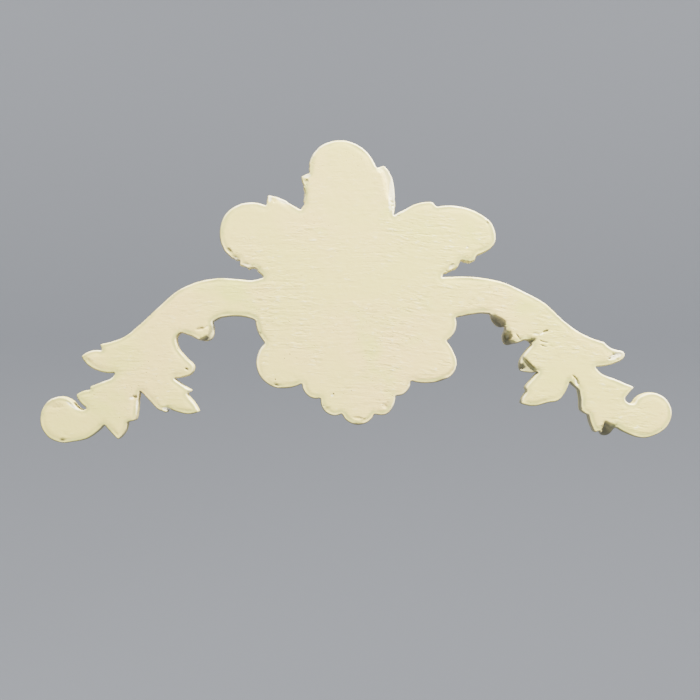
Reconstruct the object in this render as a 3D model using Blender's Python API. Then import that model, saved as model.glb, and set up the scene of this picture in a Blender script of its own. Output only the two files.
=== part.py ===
# A carved corner ornament: a cabochon in a scalloped shell under three petals, between two
# leafed scroll arms. It is one solid with a flat back, which is the face that is fixed to the work.
#
# The row frame: the back lies in the plane Y = 0 and the carving faces -Y, with +Z up.
# The origin is on the back, behind the cabochon.
#
# The plan is drawn in millimetres on a sheet where the ornament is DRAWN_WIDTH wide, as (x, z)
# points, and it is scaled to WIDTH. Depths, measured from the back, are real sizes of their own.

import bmesh
import bpy
import numpy as np
from mathutils import Vector
from mathutils.geometry import delaunay_2d_cdt

# Driving sizes
WIDTH = 0.400
WALL_DEPTH = 0.0075
BODY_DEPTH = 0.0165
PETAL_DEPTH = 0.0165
STEM_DEPTH = 0.0145
LEAF_TIP_DEPTH = 0.0105
SCROLL_DEPTH = 0.0200
CABOCHON_DEPTH = 0.0270
ROUND_OVER = 0.0050
FLUTE_DEPTH = 0.0032
LEAF_FLUTE_DEPTH = 0.0028
VEIN_DEPTH = 0.0022
UNDERCUT_SLOPE = 2.4

# How finely the solid is faceted
OUTLINE_STEP = 0.0028
LATTICE_STEP = 0.0038
CUT_STEP = 0.0034
EDGE_RINGS = (0.0013, 0.0034)
UNDERCUT_STEP = 0.0022

DRAWN_WIDTH = 400.0
PLAN = WIDTH / DRAWN_WIDTH

# The outline, as stretches: each runs smoothly from the last corner through its points, and its
# last point is the next corner. Two stretches meet at a notch or at a leaf's tip.
TOP_PETAL = [
    [(30.4, 67.5), (32.4, 78.0)],
    [(27.2, 81.2)],
    [(26.8, 89.0), (20.5, 97.6), (6.0, 101.8), (-7.0, 96.4), (-15.4, 84.6)],
    [(-20.3, 86.4)],
    [(-25.2, 79.0), (-27.0, 69.0), (-26.3, 54.0)],
]
MINUS_X_PETAL = [
    [(-33.0, 57.6), (-41.0, 61.5), (-50.8, 62.7)],
    [(-53.6, 59.6)],
    [(-66.6, 60.0), (-79.0, 56.2), (-89.0, 48.3), (-90.8, 37.5), (-79.0, 29.0)],
    [(-76.5, 25.2), (-69.2, 25.5)],
    [(-64.8, 19.8), (-58.2, 17.4)],
    [(-56.8, 14.8)],
]
MINUS_X_ARM = [
    [(-67.0, 15.3), (-80.0, 14.7), (-95.0, 11.8), (-110.0, 5.1), (-122.0, -1.5), (-135.0, -13.4),
     (-146.0, -21.0), (-159.7, -26.2)],
    [(-164.5, -30.2), (-171.0, -31.5)],
    [(-173.0, -34.4), (-170.0, -38.0)],
    [(-163.6, -40.6), (-154.2, -41.7)],
    [(-157.0, -45.4), (-167.0, -49.8), (-178.8, -54.8)],
    [(-175.8, -58.3), (-172.8, -61.8)],
    [(-174.8, -64.6), (-179.0, -65.3)],
    [(-182.6, -60.7), (-190.9, -58.4), (-199.2, -62.5), (-202.7, -70.8), (-200.0, -79.4),
     (-193.0, -84.8), (-184.5, -87.0), (-174.0, -84.0), (-167.4, -80.2)],
    [(-165.6, -83.6), (-162.6, -85.6), (-158.8, -85.4)],
    [(-157.2, -82.4)],
    [(-154.0, -83.6)],
    [(-151.3, -77.5), (-150.0, -72.5)],
    [(-146.3, -70.6), (-144.9, -62.0), (-144.0, -56.6)],
    [(-141.0, -54.0), (-138.0, -51.0)],
    [(-135.2, -58.0), (-131.0, -63.2), (-124.0, -64.7), (-115.8, -66.8), (-107.0, -65.2)],
    [(-108.2, -61.5), (-111.0, -57.4)],
    [(-109.8, -54.8)],
    [(-113.5, -50.4), (-118.3, -45.2)],
    [(-112.0, -45.4), (-107.2, -44.2), (-106.6, -39.0), (-109.5, -33.6), (-114.4, -28.0)],
    [(-112.2, -25.6), (-109.0, -25.2)],
    [(-103.0, -27.3), (-97.6, -27.8), (-95.9, -23.4), (-97.6, -18.3)],
    [(-97.4, -16.2)],
    [(-93.6, -16.6), (-90.2, -13.8), (-88.2, -8.5)],
    [(-82.0, -7.9), (-75.0, -8.8), (-65.5, -10.8)],
]
SHELL = [
    [(-66.0, -16.5), (-63.8, -21.8), (-59.6, -25.4)],
    [(-64.0, -32.0), (-66.3, -40.0), (-63.8, -46.6), (-57.0, -50.6), (-47.5, -52.2),
     (-37.2, -50.8)],
    [(-36.0, -55.5), (-32.8, -59.2), (-27.5, -60.1)],
    [(-26.4, -66.0), (-22.8, -71.4), (-14.0, -71.8)],
    [(-11.4, -75.8), (-4.0, -78.8), (3.2, -76.2), (6.5, -71.6)],
    [(12.0, -72.9), (17.8, -69.6), (20.0, -61.8)],
    [(25.0, -61.9), (29.6, -58.6), (31.8, -52.5)],
    [(40.0, -55.3), (49.5, -54.8), (57.2, -49.6), (60.8, -40.0), (59.1, -32.1), (55.1, -26.9)],
    [(58.6, -22.2), (60.7, -17.0), (61.3, -12.5)],
]
PLUS_X_ARM = [
    [(67.0, -10.5), (76.0, -9.8), (83.5, -10.8), (88.8, -13.6)],
    [(88.0, -18.8), (89.8, -24.6), (94.8, -25.4), (102.5, -22.2), (108.5, -20.2)],
    [(111.5, -23.2), (111.0, -28.8), (105.7, -36.0), (100.5, -42.0), (102.2, -46.6),
     (107.0, -48.4), (113.2, -49.2)],
    [(108.9, -52.6), (101.8, -57.0)],
    [(105.2, -59.2)],
    [(101.0, -63.9), (97.1, -70.4)],
    [(104.0, -71.9), (110.0, -70.8), (116.6, -68.5)],
    [(117.5, -70.8)],
    [(122.4, -69.4), (127.7, -64.1), (134.6, -57.0)],
    [(135.8, -63.0), (136.4, -70.5), (137.6, -76.0)],
    [(142.6, -77.0)],
    [(144.4, -83.6), (148.4, -88.1)],
    [(152.2, -84.3), (157.2, -78.6)],
    [(162.0, -83.3), (168.0, -87.4), (176.0, -89.3), (185.0, -89.8), (192.5, -86.7),
     (197.2, -79.5), (197.0, -70.0), (192.0, -63.0), (184.5, -60.9), (178.5, -63.3),
     (173.9, -68.2), (171.2, -69.4), (168.0, -68.0)],
    [(171.8, -65.0), (175.0, -59.7)],
    [(171.0, -57.5), (166.0, -56.6)],
    [(166.2, -54.4)],
    [(158.0, -51.3), (152.4, -48.9), (150.4, -45.6)],
    [(155.0, -45.8), (161.0, -44.4), (167.6, -40.8), (171.8, -35.2)],
    [(167.0, -32.3), (158.6, -31.6)],
    [(159.8, -27.6)],
    [(153.5, -26.3), (145.0, -23.2), (135.0, -15.5), (124.0, -5.3), (110.0, 6.6), (97.0, 12.2),
     (85.0, 14.2), (72.0, 13.6), (62.0, 13.1), (55.9, 14.9)],
]
PLUS_X_PETAL = [
    [(61.5, 20.5)],
    [(66.0, 21.2), (71.0, 22.2)],
    [(71.4, 25.4)],
    [(78.5, 29.0), (83.3, 37.0), (83.6, 47.0), (79.2, 56.0), (71.0, 61.2), (62.0, 62.3),
     (54.4, 60.2)],
    [(53.4, 67.0)],
    [(44.0, 64.3), (37.0, 60.0), (32.0, 57.5)],
]
OUTLINE = TOP_PETAL + MINUS_X_PETAL + MINUS_X_ARM + SHELL + PLUS_X_ARM + PLUS_X_PETAL

# The cabochon, and the ring that frames it
CABOCHON_CENTRE = (-1.0, 2.0)
CABOCHON_RADII = (17.0, 22.0)
RIM_GAP = 5.0
RIM_WIDTH = 7.0

# Rounded forms that rise from the work: (centre, radii, turn in degrees)
PETAL_ROLLS = [
    ((6.0, 86.0), (15.0, 11.0), 0.0),
    ((70.0, 45.0), (9.5, 13.0), -8.0),
    ((-76.5, 44.0), (9.5, 13.0), 8.0),
]
SHELL_EARS = [
    ((45.5, -40.5), (12.0, 11.5), 0.0),
    ((-51.0, -38.5), (12.0, 11.0), 0.0),
]
SCROLL_ENDS = [
    ((184.0, -75.5), (12.5, 12.5), 0.0),
    ((-189.5, -72.5), (12.5, 12.5), 0.0),
]
LEAF_CURLS = [
    ((94.5, -19.5), (6.5, 5.5), 0.0),
    ((-101.5, -22.0), (6.5, 5.5), 0.0),
    ((-111.5, -40.0), (5.5, 6.0), 0.0),
    ((106.5, -42.0), (5.5, 6.0), 0.0),
]

# The spiral cut of each scroll end and shell ear: (form, start angle in degrees, turning)
SPIRALS = [
    (SCROLL_ENDS[0], 128.0, -1),
    (SCROLL_ENDS[1], 52.0, 1),
    (SHELL_EARS[0], 118.0, -1),
    (SHELL_EARS[1], 62.0, 1),
]
SPIRAL_TURNS = 1.15
SPIRAL_REACH = (0.80, 0.24)

# Cuts of the gouge, as (from, to, bow): from a notch of the outline in to the root of the form,
# bowed sideways by that part of its length
SHELL_FLUTES = [
    ((-59.6, -25.4), (-27.0, -9.0), 0.0),
    ((-37.2, -50.8), (-18.5, -25.0), 0.0),
    ((-27.5, -60.1), (-12.5, -29.0), 0.0),
    ((-14.0, -71.8), (-6.0, -31.0), 0.0),
    ((6.5, -71.6), (2.5, -31.0), 0.0),
    ((20.0, -61.8), (9.5, -29.0), 0.0),
    ((31.8, -52.5), (15.5, -25.0), 0.0),
    ((55.1, -26.9), (25.0, -9.0), 0.0),
    ((-65.5, -10.8), (-29.0, 1.0), 0.0),
    ((61.3, -12.5), (27.0, 1.0), 0.0),
    ((-56.8, 14.8), (-29.0, 10.0), 0.0),
    ((55.9, 14.9), (27.0, 10.0), 0.0),
]
PETAL_FLUTES = [
    ((-26.3, 54.0), (-14.0, 29.0), 0.0),
    ((32.0, 57.5), (13.0, 29.0), 0.0),
    ((-15.4, 84.6), (-7.0, 34.0), 0.06),
    ((27.2, 81.2), (8.0, 34.0), -0.06),
    ((-53.6, 59.6), (-22.0, 27.0), 0.08),
    ((-69.2, 25.5), (-28.0, 20.0), -0.06),
    ((54.4, 60.2), (21.0, 27.0), -0.08),
    ((71.4, 25.4), (26.0, 20.0), 0.06),
]
PETAL_MIDRIBS = [
    ((4.5, 74.0), (0.5, 34.0), 0.0),
    ((60.0, 42.0), (25.0, 24.0), 0.0),
    ((-65.5, 41.5), (-26.0, 24.0), 0.0),
]
STEM_REEDS = [
    ((62.0, 5.5), (121.0, -15.5), 0.16),
    ((63.0, -2.5), (113.0, -17.5), 0.15),
    ((-64.0, 7.5), (-124.0, -13.5), -0.16),
    ((-67.0, -1.0), (-115.0, -17.0), -0.15),
]
LEAF_MIDRIBS = [
    ((168.0, -35.6), (128.0, -24.0), 0.08),
    ((103.0, -44.0), (124.0, -33.0), -0.10),
    ((100.0, -69.0), (131.0, -42.0), 0.06),
    ((172.5, -60.2), (146.0, -55.0), 0.08),
    ((148.2, -85.0), (143.0, -55.0), 0.06),
    ((-169.0, -34.8), (-131.0, -23.0), -0.08),
    ((-110.0, -38.0), (-128.0, -31.0), 0.10),
    ((-109.5, -64.0), (-134.0, -40.0), -0.06),
    ((-175.5, -55.6), (-149.0, -50.0), -0.08),
    ((-154.0, -80.5), (-148.0, -50.0), -0.06),
]
LEAF_FLUTES = [
    ((158.6, -31.6), (136.0, -25.0), 0.0),
    ((150.4, -45.6), (134.0, -33.0), 0.0),
    ((113.2, -49.2), (127.0, -38.0), 0.0),
    ((105.2, -59.2), (124.0, -46.0), 0.0),
    ((116.6, -68.5), (128.0, -50.0), 0.0),
    ((134.6, -57.0), (134.0, -42.0), 0.0),
    ((166.0, -56.6), (152.0, -54.0), 0.0),
    ((168.0, -68.0), (150.0, -58.0), 0.0),
    ((157.2, -78.6), (147.0, -60.0), 0.0),
    ((142.6, -77.0), (142.0, -60.0), 0.0),
    ((108.5, -20.2), (119.0, -22.0), 0.0),
    ((-160.8, -27.6), (-139.0, -23.5), 0.0),
    ((-154.2, -41.7), (-137.0, -31.0), 0.0),
    ((-118.3, -45.2), (-131.0, -36.0), 0.0),
    ((-111.0, -57.4), (-128.0, -44.0), 0.0),
    ((-138.0, -51.0), (-138.0, -38.0), 0.0),
    ((-172.8, -61.8), (-153.0, -54.0), 0.0),
    ((-159.8, -75.3), (-151.0, -57.0), 0.0),
    ((-150.0, -72.5), (-147.0, -57.0), 0.0),
    ((-117.4, -24.8), (-123.0, -23.0), 0.0),
]
FLUTE_WIDTH = 8.5
LEAF_FLUTE_WIDTH = 6.5
MIDRIB_WIDTH = 6.0
REED_WIDTH = 5.0
SPIRAL_WIDTH = 5.0

# Where the back is cut away, so that a curl or leaflet lies lower than the back: (the edge that the
# back keeps, points beyond the outline that close the area, how deep it is cut)
UNDERCUTS = [
    ([(-97.6, -18.6), (-100.3, -20.0), (-102.1, -22.5), (-101.1, -25.1), (-104.5, -26.0),
      (-108.3, -24.3), (-117.5, -23.7), (-114.0, -28.4)],
     [(-108.0, -32.0), (-90.0, -32.0), (-91.0, -18.0)], 0.0048),
    ([(-108.4, -35.2), (-113.5, -40.6), (-118.6, -45.4)],
     [(-112.0, -50.0), (-99.0, -47.0), (-99.0, -34.0)], 0.0016),
    ([(-87.6, -8.2), (-90.8, -9.2), (-94.9, -10.8), (-97.6, -13.4), (-97.8, -17.2)],
     [(-92.0, -21.0), (-82.0, -14.0)], 0.0050),
    ([(-157.4, -82.8), (-159.8, -75.4), (-168.0, -80.0)],
     [(-168.0, -92.0), (-156.0, -91.0)], 0.0050),
    ([(-15.0, 84.2), (-18.6, 81.0), (-20.2, 75.0), (-21.6, 67.0), (-26.6, 53.6)],
     [(-28.6, 57.0), (-32.0, 64.0), (-32.0, 90.0), (-16.5, 92.0)], 0.0034),
    ([(88.6, -13.2), (90.4, -17.5), (92.6, -22.0), (97.6, -24.2)],
     [(92.0, -32.0), (80.0, -24.0), (80.0, -13.0)], 0.0045),
]

# The depth of the work between its edges, by place: (x, z, depth)
DEPTHS = [
    (-1.0, 2.0, BODY_DEPTH),
    (38.0, 0.0, BODY_DEPTH),
    (-40.0, 0.0, BODY_DEPTH),
    (0.0, -45.0, BODY_DEPTH),
    (46.0, -40.0, BODY_DEPTH),
    (-51.0, -38.0, BODY_DEPTH),
    (3.0, 50.0, PETAL_DEPTH),
    (6.0, 90.0, PETAL_DEPTH),
    (72.0, 45.0, PETAL_DEPTH),
    (-78.0, 44.0, PETAL_DEPTH),
    (40.0, 38.0, PETAL_DEPTH),
    (-42.0, 38.0, PETAL_DEPTH),
    (80.0, 2.0, STEM_DEPTH),
    (-84.0, 3.0, STEM_DEPTH),
    (108.0, -6.0, STEM_DEPTH),
    (-112.0, -6.0, STEM_DEPTH),
    (126.0, -28.0, STEM_DEPTH),
    (-131.0, -28.0, STEM_DEPTH),
    (148.0, -62.0, STEM_DEPTH),
    (-153.0, -58.0, STEM_DEPTH),
    (172.0, -35.0, LEAF_TIP_DEPTH),
    (-173.0, -34.0, LEAF_TIP_DEPTH),
    (98.0, -70.0, LEAF_TIP_DEPTH),
    (-108.0, -65.0, LEAF_TIP_DEPTH),
    (148.0, -87.0, LEAF_TIP_DEPTH),
    (-154.0, -83.0, LEAF_TIP_DEPTH),
    (175.0, -60.0, LEAF_TIP_DEPTH),
    (-178.0, -55.0, LEAF_TIP_DEPTH),
    (184.0, -75.0, STEM_DEPTH),
    (-189.0, -72.0, STEM_DEPTH),
]

PAINT_COLOUR = (0.78, 0.73, 0.53, 1.0)
PAINT_ROUGHNESS = 0.5


def smooth_through(points, step):
    """Points every step or less along a smooth curve through these, without the last."""
    knots = np.array(points, float)
    lengths = np.linalg.norm(np.diff(knots, axis=0), axis=1)
    if len(knots) == 2:
        slopes = np.repeat([(knots[1] - knots[0]) / lengths[0]], 2, axis=0)
    else:
        chords = np.diff(knots, axis=0) / lengths[:, None]
        before, after = lengths[:-1, None], lengths[1:, None]
        inner = (chords[:-1] * after + chords[1:] * before) / (before + after)
        slopes = np.vstack([2 * chords[0] - inner[0], inner, 2 * chords[-1] - inner[-1]])
    curve = []
    for i, length in enumerate(lengths):
        count = max(1, round(length / step))
        t = (np.arange(count) / count)[:, None]
        curve.append(
            knots[i] * (1 + 2 * t) * (1 - t) ** 2
            + knots[i + 1] * t * t * (3 - 2 * t)
            + length * slopes[i] * t * (1 - t) ** 2
            - length * slopes[i + 1] * t * t * (1 - t)
        )
    return np.vstack(curve)


def outline(step):
    """The closed outline, in drawn millimetres."""
    corner = OUTLINE[-1][-1]
    pieces = []
    for stretch in OUTLINE:
        pieces.append(smooth_through([corner, *stretch], step))
        corner = stretch[-1]
    return np.vstack(pieces)


def nearest_on(points, path):
    """How far each point is from a path, and what share of the way along it the nearest place is."""
    starts, ends = path[:-1], path[1:]
    runs = ends - starts
    squares = np.maximum((runs**2).sum(1), 1e-12)
    best = np.full(len(points), np.inf)
    share = np.zeros(len(points))
    for i, (start, run, square) in enumerate(zip(starts, runs, squares)):
        t = np.clip((points - start) @ run / square, 0, 1)
        gap = np.linalg.norm(points - start - t[:, None] * run, axis=1)
        closer = gap < best
        best = np.where(closer, gap, best)
        share = np.where(closer, (i + t) / len(runs), share)
    return best, share


def bowed(start, end, bow, count=9):
    """A path from start to end whose middle stands off sideways by bow times its length."""
    start, end = np.array(start, float), np.array(end, float)
    run = end - start
    side = np.array([-run[1], run[0]])
    t = np.linspace(0, 1, count)[:, None]
    return start + t * run + 4 * t * (1 - t) * bow * side


def spiral(form, angle, turning, aside=0.0, count=22):
    """A spiral on a rounded form, from its rim in to its eye, or one that runs aside of it by that
    part of the way to the next turn."""
    (x, z), (rx, rz), _ = form
    t = np.linspace(0, 1, count)
    turned = np.radians(angle) + turning * t * SPIRAL_TURNS * 2 * np.pi
    rim, eye = SPIRAL_REACH
    reach = rim + (eye - rim) * (t + aside / SPIRAL_TURNS)
    return np.stack([x + rx * reach * np.cos(turned), z + rz * reach * np.sin(turned)], axis=1)


def ellipse_reach(points, form):
    """Each point's distance from a form's centre, where 1 is on its rim."""
    (x, z), (rx, rz), turn = form
    c, s = np.cos(np.radians(turn)), np.sin(np.radians(turn))
    dx, dz = points[:, 0] - x, points[:, 1] - z
    return np.hypot((c * dx + s * dz) / rx, (c * dz - s * dx) / rz)


def cuts():
    """Every cut of the gouge, as (path, width, depth, share of the depth left at its two ends)."""
    found = [(bowed(*c), FLUTE_WIDTH, FLUTE_DEPTH, (1, 0.15)) for c in SHELL_FLUTES + PETAL_FLUTES]
    found += [(bowed(*c), LEAF_FLUTE_WIDTH, LEAF_FLUTE_DEPTH, (1, 0)) for c in LEAF_FLUTES]
    found += [(bowed(*c), MIDRIB_WIDTH, VEIN_DEPTH, (0, 0)) for c in PETAL_MIDRIBS + LEAF_MIDRIBS]
    found += [(bowed(*c), REED_WIDTH, VEIN_DEPTH, (0.3, 0)) for c in STEM_REEDS]
    found += [(spiral(*s), SPIRAL_WIDTH, FLUTE_DEPTH, (0, 0.6)) for s in SPIRALS]
    return found


def ground_depth(points):
    """The depth between the edges, blended from the places that DEPTHS gives."""
    places = np.array(DEPTHS)
    gaps = ((points[:, None, :] - places[None, :, :2]) ** 2).sum(2)
    weights = 1 / (gaps + 20.0) ** 1.6
    return (weights * places[:, 2]).sum(1) / weights.sum(1)


def front_depth(points, edge):
    """How deep the carving stands at each point, where edge is its distance from the outline."""
    depth = ground_depth(points)
    for forms, crown in (
        (PETAL_ROLLS, PETAL_DEPTH + 0.004),
        (SHELL_EARS, BODY_DEPTH + 0.003),
        (SCROLL_ENDS, SCROLL_DEPTH),
        (LEAF_CURLS, STEM_DEPTH + 0.001),
    ):
        for form in forms:
            reach = ellipse_reach(points, form)
            rise = np.sqrt(np.maximum(0, 1 - (reach / 1.15) ** 2))
            depth = np.maximum(depth, WALL_DEPTH + (crown - WALL_DEPTH) * rise)
    for path, width, deepest, fades in cuts():
        gap, share = nearest_on(points, path)
        bite = np.maximum(0, 1 - (2 * gap / width) ** 2)
        start, finish = fades
        fade = np.minimum(1, start + 6.0 * share) * np.minimum(1, finish + 3.0 * (1 - share))
        depth = depth - deepest * bite * fade
    reach = ellipse_reach(points, (CABOCHON_CENTRE, CABOCHON_RADII, 0.0))
    size = sum(CABOCHON_RADII) / 2
    rim = np.abs((reach - 1) * size - RIM_GAP)
    ring = np.sqrt(np.maximum(0, 1 - (2 * rim / RIM_WIDTH) ** 2))
    ground = BODY_DEPTH - FLUTE_DEPTH
    dome = np.sqrt(np.maximum(0, 1 - reach**2))
    framed = ground + np.maximum(2 * FLUTE_DEPTH * ring, (CABOCHON_DEPTH - ground) * dome)
    outside = np.where(ring > 0, np.maximum(depth, framed), depth)
    depth = np.where((reach - 1) * size < RIM_GAP, framed, outside)
    round_over = np.clip(edge * PLAN / ROUND_OVER, 0, 1)
    return WALL_DEPTH + (depth - WALL_DEPTH) * np.sqrt(1 - (1 - round_over) ** 2)


def back_depth(points):
    """How far in from the back's plane the back lies: nothing, but where it is cut away."""
    depth = np.zeros(len(points))
    for kept, beyond, deepest in UNDERCUTS:
        gap = nearest_on(points, np.array(kept))[0] * PLAN
        cut = np.minimum(gap * UNDERCUT_SLOPE, deepest)
        depth = np.maximum(depth, np.where(inside(points, np.array(kept + beyond)), cut, 0))
    return depth


def leftward(path, closed=False):
    """The direction to the left of a path at each of its points."""
    if closed:
        run = np.roll(path, -1, axis=0) - np.roll(path, 1, axis=0)
    else:
        run = np.gradient(path, axis=0)
    run /= np.maximum(np.linalg.norm(run, axis=1), 1e-9)[:, None]
    return np.stack([-run[:, 1], run[:, 0]], axis=1)


def thinned(points, kept, gap):
    """These points, without those nearer than gap to one that is kept already."""
    for point in points:
        if not len(kept) or ((np.array(kept) - point) ** 2).sum(1).min() > gap * gap:
            kept.append(point)
    return kept


def inside(points, loop):
    """Whether each point lies inside the closed loop."""
    found = np.zeros(len(points), bool)
    x, z = points[:, 0], points[:, 1]
    for (x0, z0), (x1, z1) in zip(loop, np.roll(loop, -1, axis=0)):
        if z0 != z1:
            crosses = (z0 > z) != (z1 > z)
            found ^= crosses & (x < (x1 - x0) * (z - z0) / (z1 - z0) + x0)
    return found


def cabochon_ring(gap):
    """Points round the cabochon at this distance from its edge."""
    size = sum(CABOCHON_RADII) / 2
    count = round(2 * np.pi * (size + gap) * PLAN / CUT_STEP)
    turn = np.arange(count) / count * 2 * np.pi
    radii = np.array(CABOCHON_RADII) * (1 + gap / size)
    return np.stack([np.cos(turn), np.sin(turn)], axis=1) * radii + CABOCHON_CENTRE


def face_points(loop):
    """The points inside the outline where the carved face gets a corner of a facet."""
    closed = np.vstack([loop, loop[:1]])
    into = leftward(loop, closed=True)
    rings = [(loop + gap / PLAN * into, 0.88 * gap / PLAN, 1.7) for gap in EDGE_RINGS]
    bottoms, shoulders = [], [spiral(*s, aside=0.5) for s in SPIRALS]
    for path, width, _, _ in cuts():
        bottoms.append(smooth_through(path, CUT_STEP / PLAN))
        shoulders += [bottoms[-1] + side * width / 2 * leftward(bottoms[-1]) for side in (1, -1)]
    bottoms += [
        cabochon_ring(gap) for gap in (0.0, RIM_GAP - RIM_WIDTH / 2, RIM_GAP, RIM_GAP + RIM_WIDTH / 2)
    ]
    steps = LATTICE_STEP / PLAN
    low, high = loop.min(0), loop.max(0)
    rows = np.arange(low[1], high[1], steps * np.sqrt(3) / 2)
    lattice = [
        (x + (i % 2) * steps / 2, z) for i, z in enumerate(rows) for x in np.arange(low[0], high[0], steps)
    ]
    found = []
    for points, from_edge, apart in (
        (np.vstack(bottoms), 1.9, 1.8),
        (np.vstack(shoulders), 1.9, 2.2),
        *rings,
        (np.array(lattice), 0.66 * steps, 0.66 * steps),
    ):
        clear = nearest_on(points, closed)[0] > from_edge
        points = points[clear & inside(points, loop)]
        found = thinned(points, found, apart)
    return np.array(found)


def undercut_points(loop):
    """The points where the back gets a corner of a facet: along and beyond the edge that it keeps."""
    closed = np.vstack([loop, loop[:1]])
    step = UNDERCUT_STEP / PLAN
    found = []
    for kept, beyond, deepest in UNDERCUTS:
        edge = smooth_through(kept, step)
        area = np.array(kept + beyond)
        low, high = area.min(0), area.max(0)
        lattice = [(x, z) for x in np.arange(low[0], high[0], step) for z in np.arange(low[1], high[1], step)]
        lattice = np.array(lattice)
        lattice = lattice[inside(lattice, area)]
        foot = lattice[nearest_on(lattice, np.array(kept))[0] > deepest / PLAN / UNDERCUT_SLOPE * 0.9]
        for points in (edge, foot):
            clear = nearest_on(points, closed)[0] > 0.45 * step
            found = thinned(points[clear & inside(points, loop)], found, 0.8 * step)
    return np.array(found)


def fill(loop, points):
    """Triangles over the area inside the loop, with a corner at each of these points."""
    corners = [Vector(p) for p in np.vstack([loop, points])]
    filled = delaunay_2d_cdt(corners, [], [list(range(len(loop)))], 1, 1e-5)
    return np.array([tuple(v) for v in filled[0]]), filled[2]


def ornament_mesh():
    """The whole ornament as one closed mesh."""
    loop = outline(OUTLINE_STEP / PLAN)
    closed = np.vstack([loop, loop[:1]])
    corners, triangles = fill(loop, face_points(loop))
    edge = nearest_on(corners, closed)[0]
    front = front_depth(corners, edge)
    back_corners, back_triangles = fill(loop, undercut_points(loop))
    back = back_depth(back_corners)

    mesh = bmesh.new()
    front_verts = [
        mesh.verts.new((x * PLAN, -depth, z * PLAN)) for (x, z), depth in zip(corners, front)
    ]
    back_verts = [
        mesh.verts.new((x * PLAN, -depth, z * PLAN)) for (x, z), depth in zip(back_corners, back)
    ]
    for triangle in triangles:
        mesh.faces.new([front_verts[i] for i in triangle])
    for triangle in back_triangles:
        mesh.faces.new([back_verts[i] for i in triangle])
    count = len(loop)
    for i in range(count):
        j = (i + 1) % count
        mesh.faces.new([front_verts[i], front_verts[j], back_verts[j], back_verts[i]])
    bmesh.ops.recalc_face_normals(mesh, faces=mesh.faces)
    data = bpy.data.meshes.new("corner_ornament")
    mesh.to_mesh(data)
    mesh.free()
    return data


def paint():
    """Cream satin paint."""
    material = bpy.data.materials.new("cream_paint")
    material.use_nodes = True
    shader = material.node_tree.nodes["Principled BSDF"]
    shader.inputs["Base Color"].default_value = PAINT_COLOUR
    shader.inputs["Roughness"].default_value = PAINT_ROUGHNESS
    shader.inputs["Metallic"].default_value = 0.0
    return material


def main():
    for old in list(bpy.data.objects):
        bpy.data.objects.remove(old)
    data = ornament_mesh()
    data.shade_smooth()
    data.set_sharp_from_angle(angle=np.radians(40))
    data.materials.append(paint())
    ornament = bpy.data.objects.new("corner_ornament", data)
    bpy.context.scene.collection.objects.link(ornament)


main()
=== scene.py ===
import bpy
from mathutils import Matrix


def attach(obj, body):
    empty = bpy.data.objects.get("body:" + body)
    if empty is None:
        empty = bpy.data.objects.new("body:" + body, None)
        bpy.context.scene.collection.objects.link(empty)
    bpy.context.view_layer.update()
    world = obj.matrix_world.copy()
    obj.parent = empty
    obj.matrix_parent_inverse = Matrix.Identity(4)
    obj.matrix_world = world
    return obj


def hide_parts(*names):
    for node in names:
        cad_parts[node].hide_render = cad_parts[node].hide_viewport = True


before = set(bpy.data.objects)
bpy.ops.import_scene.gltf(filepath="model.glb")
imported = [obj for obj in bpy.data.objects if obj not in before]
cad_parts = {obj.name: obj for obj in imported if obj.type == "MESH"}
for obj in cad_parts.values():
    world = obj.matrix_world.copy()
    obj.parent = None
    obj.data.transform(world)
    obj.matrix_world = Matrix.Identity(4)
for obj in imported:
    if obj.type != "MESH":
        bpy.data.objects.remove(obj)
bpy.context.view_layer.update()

# A carved corner ornament in cream paint, shown from its flat back.
# The fine surface is drawn anew from the same plan as the solid: the outline, the carving of the
# front, the places where the back is cut away, and on top of them the softened edges, the chips,
# the veins and the marks of sanding.
import math

import bpy
import numpy as np
from mathutils import Vector, noise
from mathutils.geometry import delaunay_2d_cdt
from mathutils.kdtree import KDTree

# Sizes of the solid, in metres
WIDTH = 0.400
WALL_DEPTH = 0.0075
BODY_DEPTH = 0.0165
PETAL_DEPTH = 0.0165
STEM_DEPTH = 0.0145
LEAF_TIP_DEPTH = 0.0105
SCROLL_DEPTH = 0.0200
CABOCHON_DEPTH = 0.0270
ROUND_OVER = 0.0050
FLUTE_DEPTH = 0.0032
LEAF_FLUTE_DEPTH = 0.0028
VEIN_DEPTH = 0.0022
UNDERCUT_SLOPE = 2.4

# The fine surface, in drawn millimetres. Rings further in than FULL_RINGS_TO have half the points,
# and beyond FARTHEST the paint doesn't ask how far in a place is.
FRONT_STEP = 0.95
BACK_STEP = 1.10
EDGE_STEP = 0.85
EDGE_RINGS = (0.18, 0.45, 0.85, 1.35, 2.0, 2.8)
FULL_RINGS_TO = 1.6
RING_ROOM = 0.93
FARTHEST = 12
WALL_ROWS = 6
EDGE_PARTS = 4
MERGED = 1e-5

# The closer points over chips and creases: how far they reach, and the room that they keep
SPOT_STEP = 0.45
SPOT_GRID_REACH = 1.2
SPOT_REACH = 1.25
SPOT_EDGE_ROOM = 0.2
SPOT_ROOM = 0.6 * SPOT_STEP
CREASE_SPOTS = (-0.55, -0.25, 0.0, 0.25, 0.55)

DRAWN_WIDTH = 400.0
PLAN = WIDTH / DRAWN_WIDTH
TINY = 1e-12

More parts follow.
